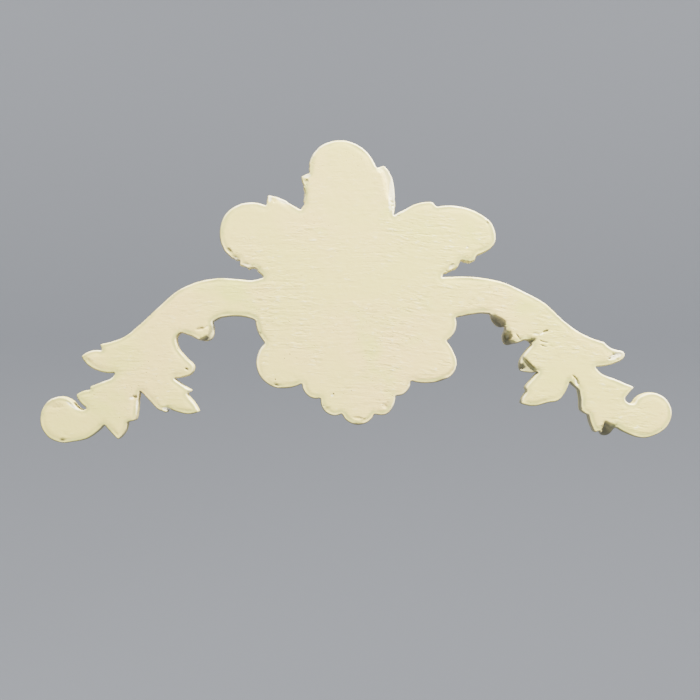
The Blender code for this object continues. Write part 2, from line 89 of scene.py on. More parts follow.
# The outline, as stretches: each runs smoothly from the last corner through its points, and its
# last point is the next corner. Two stretches meet at a notch or at a leaf's tip.
TOP_PETAL = [
    [(30.4, 67.5), (32.4, 78)],
    [(27.2, 81.2)],
    [(26.8, 89), (20.5, 97.6), (6, 101.8), (-7, 96.4), (-15.4, 84.6)],
    [(-20.3, 86.4)],
    [(-25.2, 79), (-27, 69), (-26.3, 54)],
]
MINUS_X_PETAL = [
    [(-33, 57.6), (-41, 61.5), (-50.8, 62.7)],
    [(-53.6, 59.6)],
    [(-66.6, 60), (-79, 56.2), (-89, 48.3), (-90.8, 37.5), (-79, 29)],
    [(-76.5, 25.2), (-69.2, 25.5)],
    [(-64.8, 19.8), (-58.2, 17.4)],
    [(-56.8, 14.8)],
]
MINUS_X_ARM = [
    [(-67, 15.3), (-80, 14.7), (-95, 11.8), (-110, 5.1), (-122, -1.5), (-135, -13.4),
     (-146, -21), (-159.7, -26.2)],
    [(-164.5, -30.2), (-171, -31.5)],
    [(-173, -34.4), (-170, -38)],
    [(-163.6, -40.6), (-154.2, -41.7)],
    [(-157, -45.4), (-167, -49.8), (-178.8, -54.8)],
    [(-175.8, -58.3), (-172.8, -61.8)],
    [(-174.8, -64.6), (-179, -65.3)],
    [(-182.6, -60.7), (-190.9, -58.4), (-199.2, -62.5), (-202.7, -70.8), (-200, -79.4),
     (-193, -84.8), (-184.5, -87), (-174, -84), (-167.4, -80.2)],
    [(-165.6, -83.6), (-162.6, -85.6), (-158.8, -85.4)],
    [(-157.2, -82.4)],
    [(-154, -83.6)],
    [(-151.3, -77.5), (-150, -72.5)],
    [(-146.3, -70.6), (-144.9, -62), (-144, -56.6)],
    [(-141, -54), (-138, -51)],
    [(-135.2, -58), (-131, -63.2), (-124, -64.7), (-115.8, -66.8), (-107, -65.2)],
    [(-108.2, -61.5), (-111, -57.4)],
    [(-109.8, -54.8)],
    [(-113.5, -50.4), (-118.3, -45.2)],
    [(-112, -45.4), (-107.2, -44.2), (-106.6, -39), (-109.5, -33.6), (-114.4, -28)],
    [(-112.2, -25.6), (-109, -25.2)],
    [(-103, -27.3), (-97.6, -27.8), (-95.9, -23.4), (-97.6, -18.3)],
    [(-97.4, -16.2)],
    [(-93.6, -16.6), (-90.2, -13.8), (-88.2, -8.5)],
    [(-82, -7.9), (-75, -8.8), (-65.5, -10.8)],
]
SHELL = [
    [(-66, -16.5), (-63.8, -21.8), (-59.6, -25.4)],
    [(-64, -32), (-66.3, -40), (-63.8, -46.6), (-57, -50.6), (-47.5, -52.2),
     (-37.2, -50.8)],
    [(-36, -55.5), (-32.8, -59.2), (-27.5, -60.1)],
    [(-26.4, -66), (-22.8, -71.4), (-14, -71.8)],
    [(-11.4, -75.8), (-4, -78.8), (3.2, -76.2), (6.5, -71.6)],
    [(12, -72.9), (17.8, -69.6), (20, -61.8)],
    [(25, -61.9), (29.6, -58.6), (31.8, -52.5)],
    [(40, -55.3), (49.5, -54.8), (57.2, -49.6), (60.8, -40), (59.1, -32.1), (55.1, -26.9)],
    [(58.6, -22.2), (60.7, -17), (61.3, -12.5)],
]
PLUS_X_ARM = [
    [(67, -10.5), (76, -9.8), (83.5, -10.8), (88.8, -13.6)],
    [(88, -18.8), (89.8, -24.6), (94.8, -25.4), (102.5, -22.2), (108.5, -20.2)],
    [(111.5, -23.2), (111, -28.8), (105.7, -36), (100.5, -42), (102.2, -46.6),
     (107, -48.4), (113.2, -49.2)],
    [(108.9, -52.6), (101.8, -57)],
    [(105.2, -59.2)],
    [(101, -63.9), (97.1, -70.4)],
    [(104, -71.9), (110, -70.8), (116.6, -68.5)],
    [(117.5, -70.8)],
    [(122.4, -69.4), (127.7, -64.1), (134.6, -57)],
    [(135.8, -63), (136.4, -70.5), (137.6, -76)],
    [(142.6, -77)],
    [(144.4, -83.6), (148.4, -88.1)],
    [(152.2, -84.3), (157.2, -78.6)],
    [(162, -83.3), (168, -87.4), (176, -89.3), (185, -89.8), (192.5, -86.7),
     (197.2, -79.5), (197, -70), (192, -63), (184.5, -60.9), (178.5, -63.3),
     (173.9, -68.2), (171.2, -69.4), (168, -68)],
    [(171.8, -65), (175, -59.7)],
    [(171, -57.5), (166, -56.6)],
    [(166.2, -54.4)],
    [(158, -51.3), (152.4, -48.9), (150.4, -45.6)],
    [(155, -45.8), (161, -44.4), (167.6, -40.8), (171.8, -35.2)],
    [(167, -32.3), (158.6, -31.6)],
    [(159.8, -27.6)],
    [(153.5, -26.3), (145, -23.2), (135, -15.5), (124, -5.3), (110, 6.6), (97, 12.2),
     (85, 14.2), (72, 13.6), (62, 13.1), (55.9, 14.9)],
]
PLUS_X_PETAL = [
    [(61.5, 20.5)],
    [(66, 21.2), (71, 22.2)],
    [(71.4, 25.4)],
    [(78.5, 29), (83.3, 37), (83.6, 47), (79.2, 56), (71, 61.2), (62, 62.3),
     (54.4, 60.2)],
    [(53.4, 67)],
    [(44, 64.3), (37, 60), (32, 57.5)],
]
OUTLINE = TOP_PETAL + MINUS_X_PETAL + MINUS_X_ARM + SHELL + PLUS_X_ARM + PLUS_X_PETAL

# The cabochon, and the ring that frames it
CABOCHON_CENTRE = (-1, 2)
CABOCHON_RADII = (17, 22)
RIM_GAP = 5.0
RIM_WIDTH = 7.0

# Rounded forms that rise from the work: (centre, radii, turn in degrees)
PETAL_ROLLS = [
    ((6, 86), (15, 11), 0), ((70, 45), (9.5, 13), -8), ((-76.5, 44), (9.5, 13), 8),
]
SHELL_EARS = [
    ((45.5, -40.5), (12, 11.5), 0), ((-51, -38.5), (12, 11), 0),
]
SCROLL_ENDS = [
    ((184, -75.5), (12.5, 12.5), 0), ((-189.5, -72.5), (12.5, 12.5), 0),
]
LEAF_CURLS = [
    ((94.5, -19.5), (6.5, 5.5), 0), ((-101.5, -22), (6.5, 5.5), 0), ((-111.5, -40), (5.5, 6), 0),
    ((106.5, -42), (5.5, 6), 0),
]

# The spiral cut of each scroll end and shell ear: (form, start angle in degrees, turning)
SPIRALS = [
    (SCROLL_ENDS[0], 128, -1),
    (SCROLL_ENDS[1], 52, 1),
    (SHELL_EARS[0], 118, -1),
    (SHELL_EARS[1], 62, 1),
]
SPIRAL_TURNS = 1.15
SPIRAL_REACH = (0.80, 0.24)

# Cuts of the gouge, as (from, to) or (from, to, bow): from a notch of the outline in to the root of
# the form, bowed sideways by that part of its length
SHELL_FLUTES = [
    ((-59.6, -25.4), (-27, -9)), ((-37.2, -50.8), (-18.5, -25)), ((-27.5, -60.1), (-12.5, -29)),
    ((-14, -71.8), (-6, -31)), ((6.5, -71.6), (2.5, -31)), ((20, -61.8), (9.5, -29)),
    ((31.8, -52.5), (15.5, -25)), ((55.1, -26.9), (25, -9)), ((-65.5, -10.8), (-29, 1)),
    ((61.3, -12.5), (27, 1)), ((-56.8, 14.8), (-29, 10)), ((55.9, 14.9), (27, 10)),
]
PETAL_FLUTES = [
    ((-26.3, 54), (-14, 29)), ((32, 57.5), (13, 29)), ((-15.4, 84.6), (-7, 34), 0.06),
    ((27.2, 81.2), (8, 34), -0.06), ((-53.6, 59.6), (-22, 27), 0.08),
    ((-69.2, 25.5), (-28, 20), -0.06), ((54.4, 60.2), (21, 27), -0.08),
    ((71.4, 25.4), (26, 20), 0.06),
]
PETAL_MIDRIBS = [
    ((4.5, 74), (0.5, 34)), ((60, 42), (25, 24)), ((-65.5, 41.5), (-26, 24)),
]
STEM_REEDS = [
    ((62, 5.5), (121, -15.5), 0.16), ((63, -2.5), (113, -17.5), 0.15),
    ((-64, 7.5), (-124, -13.5), -0.16), ((-67, -1), (-115, -17), -0.15),
]
LEAF_MIDRIBS = [
    ((168, -35.6), (128, -24), 0.08), ((103, -44), (124, -33), -0.10),
    ((100, -69), (131, -42), 0.06), ((172.5, -60.2), (146, -55), 0.08),
    ((148.2, -85), (143, -55), 0.06), ((-169, -34.8), (-131, -23), -0.08),
    ((-110, -38), (-128, -31), 0.10), ((-109.5, -64), (-134, -40), -0.06),
    ((-175.5, -55.6), (-149, -50), -0.08), ((-154, -80.5), (-148, -50), -0.06),
]
LEAF_FLUTES = [
    ((158.6, -31.6), (136, -25)), ((150.4, -45.6), (134, -33)), ((113.2, -49.2), (127, -38)),
    ((105.2, -59.2), (124, -46)), ((116.6, -68.5), (128, -50)), ((134.6, -57), (134, -42)),
    ((166, -56.6), (152, -54)), ((168, -68), (150, -58)), ((157.2, -78.6), (147, -60)),
    ((142.6, -77), (142, -60)), ((108.5, -20.2), (119, -22)), ((-160.8, -27.6), (-139, -23.5)),
    ((-154.2, -41.7), (-137, -31)), ((-118.3, -45.2), (-131, -36)), ((-111, -57.4), (-128, -44)),
    ((-138, -51), (-138, -38)), ((-172.8, -61.8), (-153, -54)), ((-159.8, -75.3), (-151, -57)),
    ((-150, -72.5), (-147, -57)), ((-117.4, -24.8), (-123, -23)),
]

# The kinds of cut: (the cuts, width, depth in metres, share of it left at the start, and at the end)
CUT_KINDS = [
    (SHELL_FLUTES + PETAL_FLUTES, 8.5, FLUTE_DEPTH, 1, 0.15),
    (LEAF_FLUTES, 6.5, LEAF_FLUTE_DEPTH, 1, 0),
    (PETAL_MIDRIBS + LEAF_MIDRIBS, 6, VEIN_DEPTH, 0, 0),
    (STEM_REEDS, 5, VEIN_DEPTH, 0.3, 0),
]
SPIRAL_KIND = (5, FLUTE_DEPTH, 0, 0.6)

# Where the back is cut away, so that a curl or leaflet lies lower than the back: (the edge that the
# back keeps, points beyond the outline that close the area, how deep it is cut)
UNDERCUTS = [
    ([(-97.6, -18.6), (-100.3, -20), (-102.1, -22.5), (-101.1, -25.1), (-104.5, -26),
      (-108.3, -24.3), (-117.5, -23.7), (-114, -28.4)],
     [(-108, -32), (-90, -32), (-91, -18)], 0.0048),
    ([(-108.4, -35.2), (-113.5, -40.6), (-118.6, -45.4)],
     [(-112, -50), (-99, -47), (-99, -34)], 0.0016),
    ([(-87.6, -8.2), (-90.8, -9.2), (-94.9, -10.8), (-97.6, -13.4), (-97.8, -17.2)],
     [(-92, -21), (-82, -14)], 0.005),
    ([(-157.4, -82.8), (-159.8, -75.4), (-168, -80)],
     [(-168, -92), (-156, -91)], 0.005),
    ([(-15, 84.2), (-18.6, 81), (-20.2, 75), (-21.6, 67), (-26.6, 53.6)],
     [(-28.6, 57), (-32, 64), (-32, 90), (-16.5, 92)], 0.0034),
    ([(88.6, -13.2), (90.4, -17.5), (92.6, -22), (97.6, -24.2)],
     [(92, -32), (80, -24), (80, -13)], 0.0045),
]

# The depth of the work between its edges: (depth, the places in the plan that have it)
DEPTHS = [
    (BODY_DEPTH, [(-1, 2), (38, 0), (-40, 0), (0, -45), (46, -40), (-51, -38)]),
    (PETAL_DEPTH, [(3, 50), (6, 90), (72, 45), (-78, 44), (40, 38), (-42, 38)]),
    (STEM_DEPTH, [(80, 2), (-84, 3), (108, -6), (-112, -6), (126, -28), (-131, -28), (148, -62),
                  (-153, -58), (184, -75), (-189, -72)]),
    (LEAF_TIP_DEPTH, [(172, -35), (-173, -34), (98, -70), (-108, -65), (148, -87), (-154, -83),
                      (175, -60), (-178, -55)]),
]
# The square of the reach over which one place's depth blends into the next, and how sharply
BLEND_SQUARE = 20
BLEND_POWER = 1.6

# The rounded forms with their height, and how much wider than its rim the swell of each is
CROWNS = [
    (PETAL_ROLLS, PETAL_DEPTH + 0.004),
    (SHELL_EARS, BODY_DEPTH + 0.003),
    (SCROLL_ENDS, SCROLL_DEPTH),
    (LEAF_CURLS, STEM_DEPTH + 0.001),
]
CROWN_SPREAD = 1.15

# How fast a cut of the gouge comes to its whole depth at its start and leaves it at its end
CUT_START_RATE = 6.0
CUT_END_RATE = 3.0

# Fine veins: their distances from a midrib, how they start and end, and how they close in
PETAL_VEINS = (-8, -4.5, 4.5, 8)
LEAF_VEINS = (-3.6, 3.6)
VEIN_WIDTH = 1.7
FINE_VEIN_DEPTH = 0.00055
VEIN_INSET = 2.0
VEIN_SLANT = 0.6
VEIN_CLOSING = 0.45
VEIN_END_RATE = 6

# The foot of a cut-away, and where and how steeply a curl's eye is hollowed
CUT_FOOT = 1.15
EYE_FROM_DEPTH = 0.0006
EYE_SLOPE = 0.45

# The softened edge of the back: the radius of its rounding, the slope beyond the sanded flat, and
# the shallow furrow behind the bead that the paint leaves along the edge
ARRIS_RADIUS = 1.2
CUT_ARRIS_RADIUS = 0.8
MARGIN_WIDTH = 5.0
MARGIN_DROP = 0.00022
FURROW_AT = 1.9
FURROW_WIDTH = 0.85
FURROW_DEPTH = 0.00026
FURROW_SHARE = 0.75
MOST_FURROW = 1.5
BOARD_WAVE = 0.00007
BOARD_WAVE_FADE = 3
SANDED_FROM, SANDED_TO = 1.8, 4.6

# Every unevenness: (how strong it is, how long its waves are in drawn millimetres, its seed)
WAVES = {
    "outline": (1, 4, 3),
    "fine outline": (1.2, 1.9, 9),
    "tool": (0.00012, 7, 21),
    "fine tool": (0.00005, 2.4, 33),
    "arris": (0.4, 12, 5),
    "margin": (0.7, 18, 11),
    "board": (1, 45, 15),
    "furrow place": (0.25, 9, 61),
    "furrow depth": (0.9, 14, 64),
    "chip depth": (0.5, 1.6, 27),
    "tone of chips and painted light": (0.7, 1.3, 71),
    "sanding": (1.2, 9, 50),
    "wall": (0.22, 6, 40),
}
TOOLED_FROM = 1.1

# Ragged stretches of the outline: (x, z, reach, how far the edge wanders)
RAGGED = [
    (30, 72, 19, 0.95), (-25, 60, 9, 0.5), (-17, 88, 8, 0.35), (74, 27, 10, 0.5), (64, 20, 8, 0.85),
    (-74, 27, 9, 0.85), (-64, 20.5, 8, 0.85), (-170, -34, 8, 0.35), (103, -58, 6, 0.4),
    (118, -70, 6, 0.4), (137, -60, 9, 0.35), (-110, -56, 7, 0.35), (-147, -72, 8, 0.35),
]

# Chips and dents of the back: (x, z, along x, along z, turn in degrees, depth in millimetres,
# and the tone: 1 where it is palest, -1 where darkest, 0 where neither). The pale tones are mostly the
# pale ground showing and the dark ones mostly settled grime; some pale ones are painted highlights and
# some dark ones painted shade.
CHIPS = [
    (-166.8, -35.2, 5, 2, -20, 0.8, 1), (-163.2, -36.6, 1, 0.6, -20, 0.9, -1),
    (-168, -36.9, 1.2, 0.6, 30, 0.9, -1), (-165.6, -34, 0.8, 0.5, 10, 0.7, -1),
    (-122.6, -19.4, 2.2, 0.9, -20, 0.8, -1), (-120.6, -20.6, 2, 0.7, -35, 0.4, 0.8),
    (-116.5, -21.2, 2.6, 0.8, 10, 0.4, 0.5), (-142.4, -51.8, 1.2, 3, -24, 0.6, 1),
    (137.4, -60.9, 2, 0.9, 10, 1.2, -1), (139.6, -61.6, 1.6, 0.9, 0, 0.4, 1),
    (136.2, -65.5, 0.9, 3.4, 0, 0.5, 0.8), (117.6, -68.6, 3.2, 1.2, 12, 0.8, 1),
    (102.8, -57.8, 1.8, 1.2, -30, 0.9, 1), (104.7, -43.4, 2, 0.8, 30, 0.6, -0.8),
    (110.2, -29.8, 0.8, 1.4, 20, 0.5, -0.6), (183.6, -88.4, 2.2, 0.9, 0, 0.6, -0.8),
    # The first chip on the next line is painted shade inside the rim of the +X scroll
    (189, -65.6, 8.5, 3, 4, 0.2, -0.42), (177.2, -66.6, 5.5, 0.9, 36, 0.3, 0.9),
    (168.5, -37.5, 5, 2.2, 20, 0.3, 0), (77.8, 31.8, 3, 1.3, 42, 0.6, -0.55),
    (73.4, 26.8, 3.4, 1.3, 28, 0.6, 0.45), (66.8, 22.8, 4, 1.2, 12, 0.5, 0.5),
    (60.5, 18.4, 1.8, 2.4, 30, 0.5, 0.45), (96.2, -17.8, 3.4, 1.1, -10, 0.6, -0.5),
    (92, -16.6, 1.8, 0.9, -35, 0.4, 0.4), (-70.5, 23.8, 4.2, 1.6, -12, 0.6, 0.35),
    (-62.8, 21.6, 3.2, 1.5, -35, 0.6, 0.55), (-60, 18.8, 1.6, 0.7, 20, 0.6, -0.7),
    (-86, 49.4, 1.3, 0.8, 50, 0.6, -0.9), (-73, 33.8, 0.8, 0.6, 0, 0.4, 1),
    (30.2, 66, 1.4, 5.5, 5, 0.7, 0.4), (28.2, 78.9, 2.8, 1.2, -22, 0.5, 0.8),
    (29.2, 75.8, 1.7, 2.1, 10, 0.8, -0.45), (51.9, 64.8, 1.3, 2.6, 8, 0.5, 0.9),
    (49.2, 63.3, 0.9, 1.4, 8, 0.6, -0.5), (44, 62.9, 5.6, 1.2, 27, 0.3, 0.6),
    (28.4, 84, 1, 2.4, 8, 0.6, 0.6), (27.4, 88.6, 0.9, 1.6, 24, 0.5, -0.5),
    (22.8, 95, 2.4, 0.8, -42, 0.4, 0.5), (-20.5, 86.5, 0.8, 3, -30, 0.5, -0.4),
    (-84.6, 52.6, 1.6, 0.8, 48, 0.4, 0.8), (-88.5, 42, 0.7, 4.5, 6, 0.3, -0.35),
    (26.2, 90.5, 1.4, 3, 20, 0.6, 0), (-26.2, 61.8, 1.4, 4, -6, 0.6, 0.6),
    # The first chip on the next line, with no depth, is a painted highlight along the -X leaflet of the
    # top petal
    (-25.4, 70, 2.1, 15, 5, 0, 1), (-25.2, 63.4, 1.5, 0.55, 20, 0.6, -1),
    (-25.4, 61, 1.6, 0.55, 20, 0.6, -1), (-25.6, 58.4, 1.4, 0.55, 20, 0.6, -1),
    (-13.6, 89, 1.4, 4.2, -22, 0.6, 0.4), (47.6, -53.4, 2.2, 0.8, 8, 0.7, -0.9),
    (58, -20.6, 0.7, 0.7, 0, 0.6, -1), (-21, -67, 3, 1.6, 35, 0.4, 0),
    (-4, -74.5, 4.4, 1.4, 8, 0.4, 0), (16, -69, 3.6, 1.6, -30, 0.4, -0.3),
    (-42, -52.9, 8, 0.9, 2, 0.6, -0.5), (-55, -51.2, 6, 1, -26, 0.6, -0.5),
    (-62.4, -45.6, 4.5, 0.9, -52, 0.6, -0.45), (41, -55.6, 8, 0.9, 0, 0.4, -0.5),
    (-22.4, -65.4, 1.7, 3.6, 25, 0.2, -0.38), (-8.6, -75, 2.8, 0.9, -25, 0.3, -0.5),
    # The first chip on the next line is a painted highlight beside the pinhole at (11.7, -58.9)
    (12.6, -60, 1, 0.7, 0, 0.1, 1), (-3.5, -78.2, 6, 0.9, 0, 0.4, -0.5),
]

# Creases of the back: (from, to, bow, width, depth in metres). Each is darkened along its length with
# painted shade.
CREASES = [
    ((-139, -47), (-143.6, -55), -0.16, 1.3, 0.0008),
    ((-103.6, -20.4), (-107.6, -25.2), 0.05, 0.9, 0.0005),
    ((-108.8, -35.6), (-118, -44.6), 0.03, 1.1, 0.0009),
    ((-118.4, -24.6), (-125, -26.4), 0.1, 1, 0.0004),
    ((-119, -27.6), (-124, -29), 0.1, 0.9, 0.0003), ((-29, 62), (-24, 64), 0, 0.8, 0.0003),
]

# Hollow eyes of the curls, seen where the back is cut away: (x, z, radius, depth in metres)
CURL_EYES = [
    (-99.3, -22.4, 2.4, 0.0016), (-107.6, -42.2, 2.2, 0.0024),
]

# Pinholes in the paint of the back: (x, z, radius in metres)
PINHOLES = [
    (57.6, -21, 0.00045), (39.4, -33.8, 0.0004), (48.6, -49.8, 0.0005), (11.7, -58.9, 0.00065),
    (18, -66.3, 0.0005), (42.8, -36.6, 0.00032), (183.5, -66, 0.0003),
]

# How far the even stretches of the outline wander, and how fast a ragged stretch dies out
EVEN_WAVER = 0.06
RAGGED_FADE = 1.3

# How fast a crease deepens from its ends, and how the tone of a chip fades at its rim
CREASE_END_RATE = 5
TONE_REACH = 1.15
TONE_SLOPE = 1.6

# The way that an edge faces to be lit, over how many points each way it is evened out, and the
# depth in metres from which the back counts as wholly cut away
FACED_WAY = (-0.40, 0.92)
FACING_REACH = 3
WHOLLY_LOW = 0.003


def smooth_through(points, step):
    """Points every step or less along a smooth curve through these, without the last."""
    knots = np.array(points, float)
    lengths = np.linalg.norm(np.diff(knots, axis=0), axis=1)
    if len(knots) == 2:
        slopes = np.repeat([(knots[1] - knots[0]) / lengths[0]], 2, axis=0)
    else:
        chords = np.diff(knots, axis=0) / lengths[:, None]
        before, after = lengths[:-1, None], lengths[1:, None]
        inner = (chords[:-1] * after + chords[1:] * before) / (before + after)
        slopes = np.vstack([2 * chords[0] - inner[0], inner, 2 * chords[-1] - inner[-1]])
    curve = []
    for i, length in enumerate(lengths):
        count = max(1, round(length / step))
        t = (np.arange(count) / count)[:, None]
        curve.append(
            knots[i] * (1 + 2 * t) * (1 - t) ** 2
            + knots[i + 1] * t * t * (3 - 2 * t)
            + length * slopes[i] * t * (1 - t) ** 2
            - length * slopes[i + 1] * t * t * (1 - t)
        )
    return np.vstack(curve)


def unit(runs):
    """Runs in the plan made one millimetre long."""
    return runs / np.maximum(np.linalg.norm(runs, axis=-1, keepdims=True), TINY)


def left_of(runs):
    """Runs in the plan turned a quarter to the left."""
    return np.stack([-runs[..., 1], runs[..., 0]], axis=-1)


def leftward(path):
    """The direction to the left of a closed path at each of its points."""
    return left_of(unit(np.roll(path, -1, axis=0) - np.roll(path, 1, axis=0)))


def wander(points, kind, row=0):
    """The named unevenness of WAVES at each point, above and below 0."""
    amount, size, seed = WAVES[kind]
    return amount * np.array([noise.noise(Vector((x / size, z / size, seed + row))) for x, z in points])


def soft_step(value, low, high):
    """0 below low, 1 above high, smooth between."""
    t = np.clip((value - low) / (high - low), 0, 1)
    return t * t * (3 - 2 * t)


def outline(step):
    """The closed outline in drawn millimetres, with its corners eased and its ragged stretches."""
    corner = OUTLINE[-1][-1]
    pieces = []
    for stretch in OUTLINE:
        pieces.append(smooth_through([corner, *stretch], step))
        corner = stretch[-1]
    loop = np.vstack(pieces)
    eased = (np.roll(loop, 1, axis=0) + 2 * loop + np.roll(loop, -1, axis=0)) / 4
    reach = np.full(len(eased), EVEN_WAVER)
    for x, z, size, amount in RAGGED:
        gap = np.hypot(eased[:, 0] - x, eased[:, 1] - z) / size
        reach = np.maximum(reach, amount * np.clip(RAGGED_FADE * (1 - gap), 0, 1))
    offset = wander(eased, "outline") + wander(eased, "fine outline")
    return eased + (reach * offset)[:, None] * leftward(eased)


def nearest_on(points, path):
    """How far each point is from a path, and what share of the way along it the nearest place is."""
    starts, ends = path[:-1], path[1:]
    runs = ends - starts
    squares = np.maximum((runs**2).sum(1), TINY)
    best = np.full(len(points), np.inf)
    share = np.zeros(len(points))
    for i, (start, run, square) in enumerate(zip(starts, runs, squares)):
        t = np.clip((points - start) @ run / square, 0, 1)
        gap = np.linalg.norm(points - start - t[:, None] * run, axis=1)
        closer = gap < best
        best = np.where(closer, gap, best)
        share = np.where(closer, (i + t) / len(runs), share)
    return best, share


def end_fade(share, rate):
    """1 along the middle of a path and 0 at its two ends, for shares of the way along it."""
    return np.minimum(1, rate * np.minimum(share, 1 - share))


def tree_of(points):
    """A search tree over points."""
    tree = KDTree(len(points))
    for i, (x, z) in enumerate(points):
        tree.insert((x, z, 0), i)
    tree.balance()
    return tree


def edge_finder(loop):
    """A function that gives the distance of points from the outline."""
    runs = np.roll(loop, -1, axis=0) - loop
    tree = tree_of(np.vstack([loop + runs * k / EDGE_PARTS for k in range(EDGE_PARTS)]))
    return lambda points: np.array([tree.find((x, z, 0))[2] for x, z in points])


def facing_up(loop):
    """How far the outline's edge faces up and to -X at each of its points, from -1 to 1."""
    outward = -leftward(loop)
    around = [np.roll(outward, k, axis=0) for k in range(-FACING_REACH, FACING_REACH + 1)]
    return unit(sum(around)) @ np.array(FACED_WAY)


def inside(points, loop):
    """Whether each point lies inside the closed loop."""
    found = np.zeros(len(points), bool)
    x, z = points[:, 0], points[:, 1]
    for (x0, z0), (x1, z1) in zip(loop, np.roll(loop, -1, axis=0)):
        if z0 != z1:
            crosses = (z0 > z) != (z1 > z)
            found ^= crosses & (x < (x1 - x0) * (z - z0) / (z1 - z0) + x0)
    return found


def bowed(start, end, bow=0, count=9):
    """A path from start to end whose middle stands off sideways by bow times its length."""
    start, end = np.array(start, float), np.array(end, float)
    run = end - start
    t = np.linspace(0, 1, count)[:, None]
    return start + t * run + 4 * t * (1 - t) * bow * left_of(run)


def spiral(form, angle, turning, count=40):
    """A spiral on a rounded form, from its rim in to its eye."""
    (x, z), (rx, rz), _ = form
    t = np.linspace(0, 1, count)
    turned = np.radians(angle) + turning * t * SPIRAL_TURNS * 2 * np.pi
    rim, eye = SPIRAL_REACH
    reach = rim + (eye - rim) * t
    return np.stack([x + rx * reach * np.cos(turned), z + rz * reach * np.sin(turned)], axis=1)


def ellipse_reach(points, form):
    """Each point's distance from a form's centre, where 1 is on its rim."""
    (x, z), (rx, rz), turn = form
    c, s = np.cos(np.radians(turn)), np.sin(np.radians(turn))
    dx, dz = points[:, 0] - x, points[:, 1] - z
    return np.hypot((c * dx + s * dz) / rx, (c * dz - s * dx) / rz)


def cuts():
    """Every cut of the gouge, as its path and the rest of its row in CUT_KINDS."""
    found = [(bowed(*cut), *kind) for made, *kind in CUT_KINDS for cut in made]
    return found + [(spiral(*cut), *SPIRAL_KIND) for cut in SPIRALS]


def fine_veins():
    """Fine lines beside each midrib, which draw together at the root."""
    found = []
    for ribs, asides in ((PETAL_MIDRIBS, PETAL_VEINS), (LEAF_MIDRIBS, LEAF_VEINS)):
        for start, end, *bow in ribs:
            start, end = np.array(start), np.array(end)
            run = unit(end - start)
            for aside in asides:
                head = start + left_of(run) * aside + run * (VEIN_INSET + abs(aside) * VEIN_SLANT)
                foot = end + left_of(run) * aside * VEIN_CLOSING - run * VEIN_INSET
                found.append(bowed(head, foot, *bow))
    return found


def ground_depth(points):
    """The depth between the edges, blended from the places that DEPTHS gives."""
    places = np.array([(x, z, depth) for depth, spots in DEPTHS for x, z in spots])
    gaps = ((points[:, None, :] - places[None, :, :2]) ** 2).sum(2)
    weights = 1 / (gaps + BLEND_SQUARE) ** BLEND_POWER
    return (weights * places[:, 2]).sum(1) / weights.sum(1)


def carved_depth(points):
    """How deep the gouge has cut into the front at each point."""
    carved = np.zeros(len(points))
    for path, width, deepest, start, finish in cuts():
        gap, share = nearest_on(points, path)
        bite = np.maximum(0, 1 - (2 * gap / width) ** 2)
        fade = np.minimum(1, start + CUT_START_RATE * share)
        fade = fade * np.minimum(1, finish + CUT_END_RATE * (1 - share))
        carved = carved + deepest * bite * fade
    for path in fine_veins():
        gap, share = nearest_on(points, path)
        bite = np.maximum(0, 1 - 2 * gap / VEIN_WIDTH)
        carved = carved + FINE_VEIN_DEPTH * bite * end_fade(share, VEIN_END_RATE)
    return carved


def front_depth(points, edge, carved):
    """How deep the carving stands at each point, where edge is its distance from the outline and
    carved is how deep the gouge has cut there."""
    depth = ground_depth(points)
    for forms, crown in CROWNS:
        for form in forms:
            reach = ellipse_reach(points, form)
            rise = np.sqrt(np.maximum(0, 1 - (reach / CROWN_SPREAD) ** 2))
            depth = np.maximum(depth, WALL_DEPTH + (crown - WALL_DEPTH) * rise)
    depth = depth - carved
    reach = ellipse_reach(points, (CABOCHON_CENTRE, CABOCHON_RADII, 0))
    size = sum(CABOCHON_RADII) / 2
    rim = np.abs((reach - 1) * size - RIM_GAP)
    ring = np.sqrt(np.maximum(0, 1 - (2 * rim / RIM_WIDTH) ** 2))
    ground = BODY_DEPTH - FLUTE_DEPTH
    dome = np.sqrt(np.maximum(0, 1 - reach**2))
    framed = ground + np.maximum(2 * FLUTE_DEPTH * ring, (CABOCHON_DEPTH - ground) * dome)
    outside = np.where(ring > 0, np.maximum(depth, framed), depth)
    depth = np.where((reach - 1) * size < RIM_GAP, framed, outside)
    depth = depth + (wander(points, "tool") + wander(points, "fine tool")) * (reach > TOOLED_FROM)
    round_over = np.clip(edge * PLAN / ROUND_OVER, 0, 1)
    return WALL_DEPTH + (depth - WALL_DEPTH) * np.sqrt(1 - (1 - round_over) ** 2)


def cut_away(points):
    """How deep the back is cut away at each point."""
    depth = np.zeros(len(points))
    for kept, beyond, deepest in UNDERCUTS:
        gap = nearest_on(points, np.array(kept))[0]
        cut = deepest * soft_step(gap * PLAN * UNDERCUT_SLOPE / deepest, 0, CUT_FOOT)
        depth = np.maximum(depth, np.where(inside(points, np.array(kept + beyond)), cut, 0))
    for x, z, radius, deepest in CURL_EYES:
        gap = np.hypot(points[:, 0] - x, points[:, 1] - z) / radius
        depth = depth + deepest * soft_step(1 - gap, 0, EYE_SLOPE) * (depth > EYE_FROM_DEPTH)
    return depth


